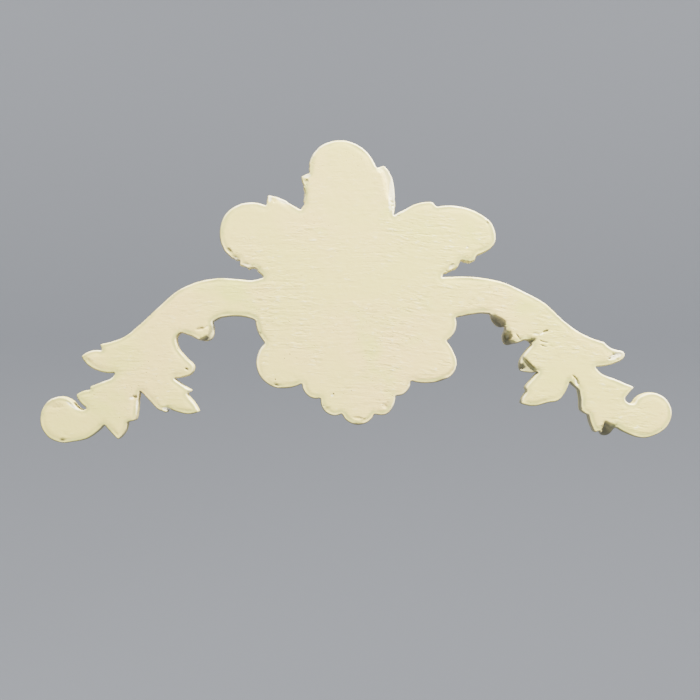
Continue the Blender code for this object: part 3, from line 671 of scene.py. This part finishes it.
def back_depth(points, edge):
    """How far in from the back's plane the back lies, where edge is the distance from the outline."""
    cut = cut_away(points)
    whole = cut == 0
    radius = np.where(whole, ARRIS_RADIUS * (1 + wander(points, "arris")), CUT_ARRIS_RADIUS)
    within = np.clip(1 - edge / radius, 0, 1)
    depth = cut + radius * PLAN * (1 - np.sqrt(1 - within**2))
    slope = soft_step(1 - edge / MARGIN_WIDTH, 0, 1)
    depth = depth + MARGIN_DROP * slope * (1 + wander(points, "margin")) * whole
    depth = depth + BOARD_WAVE * (1 + wander(points, "board")) * np.clip(edge / BOARD_WAVE_FADE, 0, 1)
    gap = edge - FURROW_AT * (1 + wander(points, "furrow place"))
    furrow = np.clip(FURROW_SHARE + wander(points, "furrow depth"), 0, MOST_FURROW)
    depth = depth + FURROW_DEPTH * furrow * np.exp(-((gap / FURROW_WIDTH) ** 2)) * whole
    rough = 1 + wander(points, "chip depth")
    for x, z, rx, rz, turn, deepest, _ in CHIPS:
        reach = ellipse_reach(points, ((x, z), (rx, rz), turn))
        depth = depth + deepest / 1000 * np.maximum(0, 1 - reach**2) * rough
    for start, end, bow, width, deepest in CREASES:
        gap, share = nearest_on(points, bowed(start, end, bow))
        bite = np.maximum(0, 1 - 2 * gap / width)
        depth = depth + deepest * bite * end_fade(share, CREASE_END_RATE)
    return depth


def tone_of_chips_and_painted_light(points):
    """The tone that the chips and creases leave: above 0 where it is paler, below 0 where darker. The
    creases' darkening is painted shade, and some chips are painted highlights and painted shade.
    """
    tone = np.zeros(len(points))
    rough = 1 + wander(points, "tone of chips and painted light")
    for x, z, rx, rz, turn, _, shade in CHIPS:
        reach = ellipse_reach(points, ((x, z), (rx, rz), turn))
        own = np.clip(TONE_SLOPE * (TONE_REACH - reach) * rough, 0, 1)
        tone = tone * (1 - own * (shade < 0)) + shade * own
    for start, end, bow, width, _ in CREASES:
        gap, share = nearest_on(points, bowed(start, end, bow))
        tone = tone - np.maximum(0, 1 - TONE_SLOPE * gap / width) * end_fade(share, CREASE_END_RATE)
    return np.clip(tone, -1, 1)


def spot_points():
    """Points over each chip and along each crease, close enough together to shape it."""
    found = []
    for x, z, rx, rz, _, _, _ in CHIPS:
        size = SPOT_GRID_REACH * max(rx, rz)
        grid = np.arange(-size, size, SPOT_STEP)
        found += [(x + dx, z + dz) for dx in grid for dz in grid]
    found = np.array(found)
    forms = [((x, z), (rx, rz), turn) for x, z, rx, rz, turn, _, _ in CHIPS]
    near = [ellipse_reach(found, form) < SPOT_REACH for form in forms]
    found = [found[np.any(near, axis=0)]]
    for start, end, bow, width, _ in CREASES:
        path = smooth_through(bowed(start, end, bow), SPOT_STEP)
        side = unit(left_of(np.gradient(path, axis=0)))
        found += [path + aside * width * side for aside in CREASE_SPOTS]
    return np.vstack(found)


def face_points(loop, edge_of, step, spots=None):
    """The points of one face inside the outline: rings along it, a lattice between, and spots that
    take the lattice's place."""
    into = leftward(loop)
    found = []
    for gap in EDGE_RINGS:
        ring = loop + gap * into
        ring = ring[:: 1 if gap < FULL_RINGS_TO else 2]
        found.append(ring[(edge_of(ring) > RING_ROOM * gap) & inside(ring, loop)])
    low, high = loop.min(0), loop.max(0)
    rows = np.arange(low[1], high[1], step * math.sqrt(3) / 2)
    columns = np.arange(low[0], high[0], step)
    lattice = np.array([(x + (i % 2) * step / 2, z) for i, z in enumerate(rows) for x in columns])
    lattice = lattice[inside(lattice, loop)]
    lattice = lattice[edge_of(lattice) > EDGE_RINGS[-1] + step / 2]
    if spots is not None:
        spots = spots[inside(spots, loop)]
        spots = spots[edge_of(spots) > EDGE_RINGS[-1] + SPOT_EDGE_ROOM]
        tree = tree_of(spots)
        lattice = lattice[[tree.find((x, z, 0))[2] > SPOT_ROOM for x, z in lattice]]
        found.append(spots)
    found.append(lattice)
    return np.vstack(found)


def fill(loop, points):
    """Triangles over the area inside the loop, with a corner at each of these points."""
    corners = [Vector(p) for p in np.vstack([loop, points])]
    filled = delaunay_2d_cdt(corners, [], [list(range(len(loop)))], 1, MERGED)
    return np.array([tuple(v) for v in filled[0]]), filled[2]


def placed(points, depths):
    """The mesh's corners at these drawn points and depths."""
    return [(x * PLAN, -y, z * PLAN) for (x, z), y in zip(points, depths)]


def wall_corners(loop, front_y, back_y):
    """The corners of the uneven walls between the back's rim and the front's, row by row."""
    found = []
    for k in range(1, WALL_ROWS):
        t = k / WALL_ROWS
        swell = math.sin(math.pi * t) * wander(loop, "wall", k)
        line = loop - swell[:, None] * leftward(loop)
        found += placed(line, back_y * (1 - t) + front_y * t)
    return found


def wall_faces(count, back_start, wall_start):
    """Faces from the back's rim down the rows of the walls to the front's rim, which comes first."""
    starts = [back_start, *(wall_start + row * count for row in range(WALL_ROWS - 1)), 0]
    found = []
    for upper, lower in zip(starts[:-1], starts[1:]):
        for i in range(count):
            j = (i + 1) % count
            found.append((upper + i, lower + i, lower + j, upper + j))
    return found


def mark(mesh, loop, back, back_edge, carved):
    """Writes on the mesh what the paint needs: where the back is flat, how far from the outline it
    lies, where it is cut away and chipped, which way its edge faces, where the walls are, and how
    deep the front is carved."""
    low = cut_away(back)
    sanded = soft_step(back_edge + wander(back, "sanding"), SANDED_FROM, SANDED_TO) * (low == 0)
    facing = facing_up(loop)
    tree = tree_of(loop)
    nearest = [tree.find((x, z, 0))[1] for x, z in back]
    front = np.zeros(len(carved))
    plain_back = np.zeros(len(back))
    walls = np.ones(len(loop) * (WALL_ROWS - 1))
    for name, of_front, of_back, of_walls in (
        ("flat", front, sanded, 0 * walls),
        ("rim", front + FARTHEST, np.minimum(back_edge, FARTHEST), FARTHEST * walls),
        ("low", front, np.clip(low / WHOLLY_LOW, 0, 1), 0 * walls),
        # The tone of the chips and creases, with painted highlights and painted shade among them
        ("chip", front, tone_of_chips_and_painted_light(back), 0 * walls),
        # Which way the edge faces, which sets where the painted highlight and painted shade fall along
        # it
        ("upward", front, facing[nearest], np.tile(facing, WALL_ROWS - 1)),
        ("wall", front, plain_back, walls),
        ("recess", np.clip(carved / FLUTE_DEPTH, 0, 1), plain_back, 0 * walls),
    ):
        values = np.concatenate([of_front, of_back, of_walls])
        mesh.attributes.new(name, "FLOAT", "POINT").data.foreach_set("value", values)


def put(name, data):
    """A new object with this data, in the scene."""
    thing = bpy.data.objects.new(name, data)
    bpy.context.scene.collection.objects.link(thing)
    return thing


def ornament():
    """The ornament's whole surface as one closed mesh."""
    loop = outline(EDGE_STEP)
    count = len(loop)
    edge_of = edge_finder(loop)
    front, front_faces = fill(loop, face_points(loop, edge_of, FRONT_STEP))
    back, back_faces = fill(loop, face_points(loop, edge_of, BACK_STEP, spot_points()))
    front_edge, back_edge = edge_of(front), edge_of(back)
    front_edge[:count] = 0
    back_edge[:count] = 0
    carved = carved_depth(front)
    front_y = front_depth(front, front_edge, carved)
    back_y = back_depth(back, back_edge)
    back_start, wall_start = len(front), len(front) + len(back)
    vertices = placed(front, front_y) + placed(back, back_y)
    vertices += wall_corners(loop, front_y[:count], back_y[:count])
    faces = [tuple(reversed(f)) for f in front_faces]
    faces += [tuple(back_start + i for i in f) for f in back_faces]
    faces += wall_faces(count, back_start, wall_start)
    mesh = bpy.data.meshes.new("ornament")
    mesh.from_pydata(vertices, [], faces)
    mark(mesh, loop, back, back_edge, carved)
    mesh.shade_smooth()
    return put("ornament", mesh)


CREAM = (0.79, 0.716, 0.208, 1)

# The layers over the cream, of paint and wear and of painted highlight and painted shade: (how much of
# the layer shows, its colour)
LAYERS = {
    "warm patches": (1, (0.858, 0.697, 0.255)),
    "green patches": (0.58, (0.65, 0.71, 0.14)),
    "light streaks": (0.9, (0.97, 0.94, 0.60)),
    "dark streaks": (0.8, (0.5, 0.45, 0.15)),
    "ticks": (0.55, (0.52, 0.43, 0.15)),
    "flecks": (0.9, (0.99, 0.975, 0.80)),
    # A greenish band of painted shade inside the edge of the back
    "painted shade band": (0.92, (0.5, 0.505, 0.165)),
    # A pale line of painted highlight along the edge
    "painted highlight line": (0.95, (0.985, 0.96, 0.72)),
    # Painted shade on the arris where the edge faces down
    "painted shade on the arris": (0.7, (0.22, 0.2, 0.12)),
    "cut-away back": (0.3, (0.88, 0.82, 0.6)),
    # Dark painted shade where the cut-away places face down, under the back
    "cut-away painted shade": (0.85, (0.15, 0.145, 0.11)),
    # Pale chips, and painted highlights
    "pale chips and painted highlights": (0.8, (0.95, 0.92, 0.78)),
    # Dark chips and grime, and painted shade along the creases and some chips
    "dark chips and painted shade": (0.78, (0.17, 0.15, 0.075)),
    # A darker tone on all the walls, painted shade
    "walls": (0.45, (0.6, 0.55, 0.26)),
    # Darker still on walls that face down: painted shade
    "painted shade on lower walls": (0.72, (0.22, 0.205, 0.135)),
    # Darker in the gouged cuts of the front: grime, and painted shade
    "carving grime and painted shade": (0.3, (0.52, 0.45, 0.17)),
    "worn corners": (0.35, (0.97, 0.94, 0.60)),
    # Darker where the surface is hollow
    "darker hollow corners": (0.3, (0.4, 0.36, 0.23)),
    "pinholes": (0.85, (0.1, 0.085, 0.06)),
}

# The noises of the paint: (waves a metre along x and y, waves a metre along z, detail), and where
# they differ from PLAIN_GRAIN, their roughness and twist
PLAIN_GRAIN = (0.55, 0)
NOISES = {
    "warm patches": (13, 13, 2),
    "green patches": (22, 30.8, 2, 0.55, 0.4),
    "streaks": (180, 660, 3, 0.55, 0.2),
    "broad streaks": (40, 270, 3, 0.5, 0.4),
    "dashes": (330, 900, 2, 0.5, 0),
    "streak patches": (30, 30, 1),
    "streak breaks": (60, 260, 1),
    "ragged edge": (170, 170, 2),
    "wide edge": (38, 38, 1),
    "band patches": (75, 75, 2),
    "line patches": (55, 55, 2),
    "carving grime and painted shade": (48, 48, 3),
    "gloss": (60, 60, 3),
    "orange peel": (420, 420, 2),
    "brush marks": (130, 130, 3),
    "pits": (640, 640, 1),
    "pitted places": (26, 26, 1),
}

# The masks of the paint: (the value that it goes by where it is least, the value where it is 1),
# and what it is at least, if that isn't 0
MASKS = {
    "warm patches": (0.38, 0.66),
    "green patches": (0.52, 0.74),
    "light streaks": (0.55, 0.75),
    "dark streaks": (0.46, 0.28),
    "ticks": (0.37, 0.29),
    "flecks": (0.64, 0.74),
    "streak dip": (0, -0.05),
    "beside the middle": (0.008, 0.03, 0.55),
    "below the petal": (0.062, 0.04, 0.55),
    "off the arm": (0.085, 0.055, 0.58),
    "streak patches": (0.25, 0.6),
    "streak breaks": (0.38, 0.6, 0.4),
    "on the arm": (0.085, 0.12),
    "band start": (1.6, 2.1),
    "band end": (4.6, 2.7),
    "band patches": (0.3, 0.6),
    "band below": (0.55, -0.75, 0.8),
    "line end": (1.95, 1.25),
    "line above": (-0.75, 0.55, 0.3),
    "line patches": (0.36, 0.58, 0.35),
    "facing down": (0.55, -0.75),
    "painted shade on the arris": (0.85, 0.2),
    "pale chips and painted highlights": (0.15, 0.75),
    "dark chips and painted shade": (-0.15, -0.8),
    "painted shade on lower walls": (0.25, -0.6),
    "carving grime and painted shade": (0.25, 0.65),
    "worn corners": (0.53, 0.6),
    "darker hollow corners": (0.48, 0.4),
    "pits": (0.31, 0.24),
    "pitted places": (0.45, 0.62),
}

# The streaks: how far they dip for each metre towards -X, and where they are weakest
STREAK_DIP = 0.09
STREAK_MIDDLE = 0.004

# How far noise moves the band and the line along the outline inward, in drawn millimetres
RAGGED_REACH = 1.9
WIDE_REACH = 2.2
ARM_REACH = 0.5
OUTWARD = 1.3

# The heights of the paint's relief, as parts of its whole height in metres
RELIEF_HEIGHT = 0.00066
STREAK_HEIGHT = 0.7
BROAD_HEIGHT = 0.8
PEEL_HEIGHT = 0.10
BRUSH_HEIGHT = 0.29
PINHOLE_DEPTH = 2.5
PIT_DEPTH = 0.7

PINHOLE_FLOOR = 0.6
PAINT_ROUGHNESS = (0.4, 0.55)
PAINT_SPECULAR = 0.45


def beside(socket, kind):
    """A new node of this kind in the same tree as the socket."""
    return socket.id_data.nodes.new(kind)


def feed(value, target):
    """Links a socket to an input, or sets the input to a number or colour."""
    if isinstance(value, bpy.types.NodeSocket):
        target.id_data.links.new(value, target)
    else:
        target.default_value = value


def maths(operation, first, second=0):
    """A maths node on a socket and another socket or number."""
    node = beside(first, "ShaderNodeMath")
    node.operation = operation
    feed(first, node.inputs[0])
    feed(second, node.inputs[1])
    return node.outputs[0]


def times(first, *others):
    """The product of a socket and other sockets or numbers."""
    for other in others:
        first = maths("MULTIPLY", first, other)
    return first


def plus(first, *others):
    """The sum of a socket and other sockets or numbers."""
    for other in others:
        first = maths("ADD", first, other)
    return first


def lay(colour, name, mask):
    """The colour with the named one of LAYERS over it, as far as the mask shows it."""
    share, own = LAYERS[name]
    node = beside(mask, "ShaderNodeMix")
    node.data_type = "RGBA"
    for i, value in ((0, times(mask, share)), (6, colour), (7, (*own, 1))):
        feed(value, node.inputs[i])
    return node.outputs[2]


def ramp(socket, low, high, least=0):
    """The least where the socket is at low or before it, 1 at high or beyond it, smooth between."""
    node = beside(socket, "ShaderNodeMapRange")
    node.interpolation_type = "SMOOTHSTEP"
    for name, value in (("Value", socket), ("From Min", low), ("From Max", high), ("To Min", least)):
        feed(value, node.inputs[name])
    return node.outputs["Result"]


def mask_of(socket, name):
    """The named one of MASKS, which goes by this socket."""
    return ramp(socket, *MASKS[name])


def noise_of(place, name):
    """The named one of NOISES, from 0 to 1, at each place on the object."""
    across, up, detail, *grain = NOISES[name]
    rough, twist = grain or PLAIN_GRAIN
    mapping = beside(place, "ShaderNodeMapping")
    feed(place, mapping.inputs["Vector"])
    feed((across, across, up), mapping.inputs["Scale"])
    node = beside(place, "ShaderNodeTexNoise")
    feed(mapping.outputs[0], node.inputs["Vector"])
    for socket, value in (("Scale", 1), ("Detail", detail), ("Roughness", rough), ("Distortion", twist)):
        feed(value, node.inputs[socket])
    return node.outputs["Fac"]


def patches_of(place, name):
    """A mask that goes by the noise of the same name."""
    return mask_of(noise_of(place, name), name)


def attribute_of(place, name):
    """A value that the mesh carries at each place."""
    node = beside(place, "ShaderNodeAttribute")
    node.attribute_name = name
    return node.outputs["Fac"]


def parts_of(place):
    """The x, y and z of a place."""
    node = beside(place, "ShaderNodeSeparateXYZ")
    feed(place, node.inputs[0])
    return node.outputs[0], node.outputs[1], node.outputs[2]


def grain_of(place):
    """The place whose z follows the streaks, which dip towards -X, and how strong the streaks are:
    weak down the middle, on the top petal and on the +X arm."""
    x, y, z = parts_of(place)
    dip = times(x, -STREAK_DIP, mask_of(x, "streak dip"))
    grained = beside(place, "ShaderNodeCombineXYZ")
    for i, value in enumerate((x, y, plus(z, dip))):
        feed(value, grained.inputs[i])
    aside = maths("ABSOLUTE", plus(x, -STREAK_MIDDLE))
    strength = times(
        mask_of(aside, "beside the middle"),
        mask_of(z, "below the petal"),
        patches_of(place, "streak patches"),
        mask_of(x, "off the arm"),
        patches_of(place, "streak breaks"),
    )
    return grained.outputs[0], strength


def edged(colour, place):
    """The colour with what lies along the outline: a band of painted shade, a line of painted highlight
    strongest where the edge faces up, and painted shade on the arris where the edge faces down."""
    rim, upward = attribute_of(place, "rim"), attribute_of(place, "upward")
    ragged = times(noise_of(place, "ragged edge"), RAGGED_REACH)
    wide = times(noise_of(place, "wide edge"), WIDE_REACH)
    on_arm = times(mask_of(parts_of(place)[0], "on the arm"), ARM_REACH)
    inward = plus(rim, ragged, wide, -OUTWARD, on_arm)
    # A band of painted shade inside the edge, strongest where the edge faces down
    band = times(
        mask_of(inward, "band start"),
        mask_of(inward, "band end"),
        patches_of(place, "band patches"),
        mask_of(upward, "band below"),
    )
    # A line of painted highlight at the edge, strongest where the edge faces up
    line = times(
        mask_of(inward, "line end"),
        mask_of(upward, "line above"),
        patches_of(place, "line patches"),
    )
    # Painted shade on the arris where the edge faces down
    arris = times(mask_of(rim, "painted shade on the arris"), mask_of(upward, "facing down"))
    for name, mask in (("painted shade band", band), ("painted highlight line", line), ("painted shade on the arris", arris)):
        colour = lay(colour, name, mask)
    return colour


def worn(colour, place):
    """The colour with the cut-away places, the chips, the walls, the carving and the corners, with
    painted shade under the cut-aways, on the walls and in the carving, and painted highlights among the
    chips.
    """
    low, chip, wall = (attribute_of(place, name) for name in ("low", "chip", "wall"))
    upward = attribute_of(place, "upward")
    # Darker in the carved recesses: grime, and painted shade
    grime_and_painted_shade_in_carving = times(attribute_of(place, "recess"), patches_of(place, "carving grime and painted shade"))
    corner = beside(place, "ShaderNodeNewGeometry").outputs["Pointiness"]
    for name, mask in (
        ("cut-away back", low),
        # Painted shade under the back where the cut-away places face down
        ("cut-away painted shade", times(low, mask_of(upward, "facing down"))),
        # Pale chips and painted highlights, then dark chips and painted shade
        ("pale chips and painted highlights", mask_of(chip, "pale chips and painted highlights")),
        ("dark chips and painted shade", mask_of(chip, "dark chips and painted shade")),
        # Painted shade on all the walls
        ("walls", wall),
        # Painted shade on the walls that face down
        ("painted shade on lower walls", times(wall, mask_of(upward, "painted shade on lower walls"))),
        ("carving grime and painted shade", grime_and_painted_shade_in_carving),
        ("worn corners", mask_of(corner, "worn corners")),
        # Darker where the surface is hollow
        ("darker hollow corners", mask_of(corner, "darker hollow corners")),
    ):
        colour = lay(colour, name, mask)
    return colour


def pinholes(place):
    """A mask of the pinholes in the paint."""
    holes = 0.0
    for x, z, radius in PINHOLES:
        gap = beside(place, "ShaderNodeVectorMath")
        gap.operation = "DISTANCE"
        feed(place, gap.inputs[0])
        gap.inputs[1].default_value = (x * PLAN, -MARGIN_DROP / 3, z * PLAN)
        hole = ramp(gap.outputs["Value"], radius, radius * PINHOLE_FLOOR)
        holes = maths("MAXIMUM", hole, holes)
    return holes


def relief_of(place, streak, broad, scored, holes):
    """The height of the paint: sanding grooves, orange peel, brush marks, pinholes and pits."""
    grooves = plus(
        times(streak, STREAK_HEIGHT),
        times(broad, BROAD_HEIGHT),
        -(STREAK_HEIGHT + BROAD_HEIGHT) / 2,
    )
    pits = times(patches_of(place, "pits"), patches_of(place, "pitted places"))
    return plus(
        times(grooves, scored),
        times(noise_of(place, "orange peel"), PEEL_HEIGHT),
        times(noise_of(place, "brush marks"), BRUSH_HEIGHT),
        times(holes, -PINHOLE_DEPTH),
        times(pits, -PIT_DEPTH),
    )


def painted_wood():
    """Cream satin paint over carved wood: uneven in tone, sanded in streaks across the flat back."""
    material = bpy.data.materials.new("painted_wood")
    material.use_nodes = True
    tree = material.node_tree
    shader = tree.nodes["Principled BSDF"]
    place = tree.nodes.new("ShaderNodeTexCoord").outputs["Object"]
    grained, strength = grain_of(place)
    scored = times(attribute_of(place, "flat"), strength)
    streak = noise_of(grained, "streaks")
    broad = noise_of(grained, "broad streaks")
    dashes = noise_of(grained, "dashes")
    holes = pinholes(place)

    colour = CREAM
    for name in ("warm patches", "green patches"):
        colour = lay(colour, name, patches_of(place, name))
    for noisy, names in ((streak, ("light streaks", "dark streaks")), (dashes, ("ticks", "flecks"))):
        for name in names:
            colour = lay(colour, name, times(mask_of(noisy, name), scored))
    colour = worn(edged(colour, place), place)
    colour = lay(colour, "pinholes", holes)
    feed(colour, shader.inputs["Base Color"])

    shine = tree.nodes.new("ShaderNodeMapRange")
    feed(noise_of(place, "gloss"), shine.inputs["Value"])
    shine.inputs["To Min"].default_value, shine.inputs["To Max"].default_value = PAINT_ROUGHNESS
    feed(shine.outputs["Result"], shader.inputs["Roughness"])
    shader.inputs["Metallic"].default_value = 0.0
    shader.inputs["Specular IOR Level"].default_value = PAINT_SPECULAR

    bump = tree.nodes.new("ShaderNodeBump")
    bump.inputs["Strength"].default_value = 1.0
    bump.inputs["Distance"].default_value = RELIEF_HEIGHT
    feed(relief_of(place, streak, broad, scored, holes), bump.inputs["Height"])
    feed(bump.outputs["Normal"], shader.inputs["Normal"])
    return material


def plain(name, colour, roughness):
    """A plain matt material."""
    material = bpy.data.materials.new(name)
    material.use_nodes = True
    shader = material.node_tree.nodes["Principled BSDF"]
    shader.inputs["Base Color"].default_value = colour
    shader.inputs["Roughness"].default_value = roughness
    return material


# The room, in metres
FLOOR_HEIGHT = -0.90
FLOOR_START = 0.4
FLOOR_RINGS = 6
ROOM_RADIUS = 2.6
COVE_RADIUS = 0.9
COVE_RINGS = 16
ROOM_HEIGHT = 3.2
ROOM_SIDES = 96
FLOOR_COLOUR = (0.238, 0.253, 0.282, 1)
FLOOR_ROUGHNESS = 0.9

# The lamps: (place, size in metres, watts, colour)
LAMPS = {
    "key": ((-0.56, 0.72, 1.30), 0.20, 196, (1, 0.94, 0.72)),
    "fill": ((1.3, 1.4, 0.3), 1.3, 5, (0.93, 0.96, 1)),
    "front_key": ((-0.8, -0.95, 1.45), 0.4, 84, (1, 0.94, 0.76)),
    "front_fill": ((1.3, -1.3, 0.4), 1.3, 6, (0.94, 0.97, 1)),
    "overhead": ((0, 0, 2.25), 3.2, 265, (1, 0.97, 0.93)),
}
SKY_COLOUR = (0.90, 0.94, 1, 1)
SKY_STRENGTH = 0.15

CAMERA_DISTANCE = 0.62
CAMERA_AIM = (0.0013, 0, -0.0312)
FRAME_WIDTH = 0.4432
SENSOR_WIDTH = 36.0
NEAREST_SEEN = 0.01


def room():
    """A pale floor that sweeps up into a round wall."""
    flat_radius = ROOM_RADIUS - COVE_RADIUS
    profile = [(r, 0) for r in np.linspace(FLOOR_START, flat_radius, FLOOR_RINGS)]
    for a in np.linspace(0, math.pi / 2, COVE_RINGS + 1)[1:]:
        profile.append((flat_radius + COVE_RADIUS * math.sin(a), COVE_RADIUS * (1 - math.cos(a))))
    profile.append((ROOM_RADIUS, ROOM_HEIGHT))
    vertices = [(0, 0, FLOOR_HEIGHT)]
    for radius, height in profile:
        for k in range(ROOM_SIDES):
            a = k / ROOM_SIDES * 2 * math.pi
            vertices.append((radius * math.cos(a), radius * math.sin(a), FLOOR_HEIGHT + height))
    faces = [(0, 1 + k, 1 + (k + 1) % ROOM_SIDES) for k in range(ROOM_SIDES)]
    for row in range(len(profile) - 1):
        for k in range(ROOM_SIDES):
            a, b = 1 + row * ROOM_SIDES + k, 1 + row * ROOM_SIDES + (k + 1) % ROOM_SIDES
            faces.append((a, a + ROOM_SIDES, b + ROOM_SIDES, b))
    mesh = bpy.data.meshes.new("room")
    mesh.from_pydata(vertices, [], faces)
    mesh.materials.append(plain("pale_floor", FLOOR_COLOUR, FLOOR_ROUGHNESS))
    mesh.shade_smooth()
    return put("room", mesh)


def aim(thing, place, target):
    """Puts a lamp or camera at a place, looking at the target."""
    thing.location = place
    thing.rotation_euler = (Vector(target) - Vector(place)).to_track_quat("-Z", "Y").to_euler()


def lamp(name):
    """The named one of LAMPS: a soft square lamp that looks at the ornament."""
    place, size, power, colour = LAMPS[name]
    light = bpy.data.lights.new(name, "AREA")
    light.shape = "SQUARE"
    light.size = size
    light.energy = power
    light.color = colour
    thing = put(name, light)
    aim(thing, place, (0, 0, 0))
    return thing


def light_only(lamps, target):
    """Keeps these lamps' light to one object."""
    receivers = bpy.data.collections.new("lit_" + target.name)
    receivers.objects.link(target)
    for thing in lamps:
        thing.light_linking.receiver_collection = receivers


def light(piece, backdrop):
    """The lamps and a dim sky. The keys light the piece alone, and the overhead lamp the backdrop."""
    lamps = {name: lamp(name) for name in LAMPS}
    light_only([lamps["key"], lamps["front_key"]], piece)
    light_only([lamps["overhead"]], backdrop)
    world = bpy.data.worlds.new("sky")
    world.use_nodes = True
    sky = world.node_tree.nodes["Background"]
    sky.inputs["Color"].default_value = SKY_COLOUR
    sky.inputs["Strength"].default_value = SKY_STRENGTH
    bpy.context.scene.world = world


def watch():
    """The camera, square to the flat back."""
    data = bpy.data.cameras.new("camera")
    data.sensor_width = SENSOR_WIDTH
    data.lens = SENSOR_WIDTH * CAMERA_DISTANCE / FRAME_WIDTH
    data.clip_start = NEAREST_SEEN
    camera = put("camera", data)
    x, y, z = CAMERA_AIM
    aim(camera, (x, y + CAMERA_DISTANCE, z), CAMERA_AIM)
    bpy.context.scene.camera = camera


def main():
    piece = ornament()
    piece.data.materials.append(painted_wood())
    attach(piece, "root")
    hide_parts("corner_ornament")
    backdrop = room()
    light(piece, backdrop)
    watch()


main()
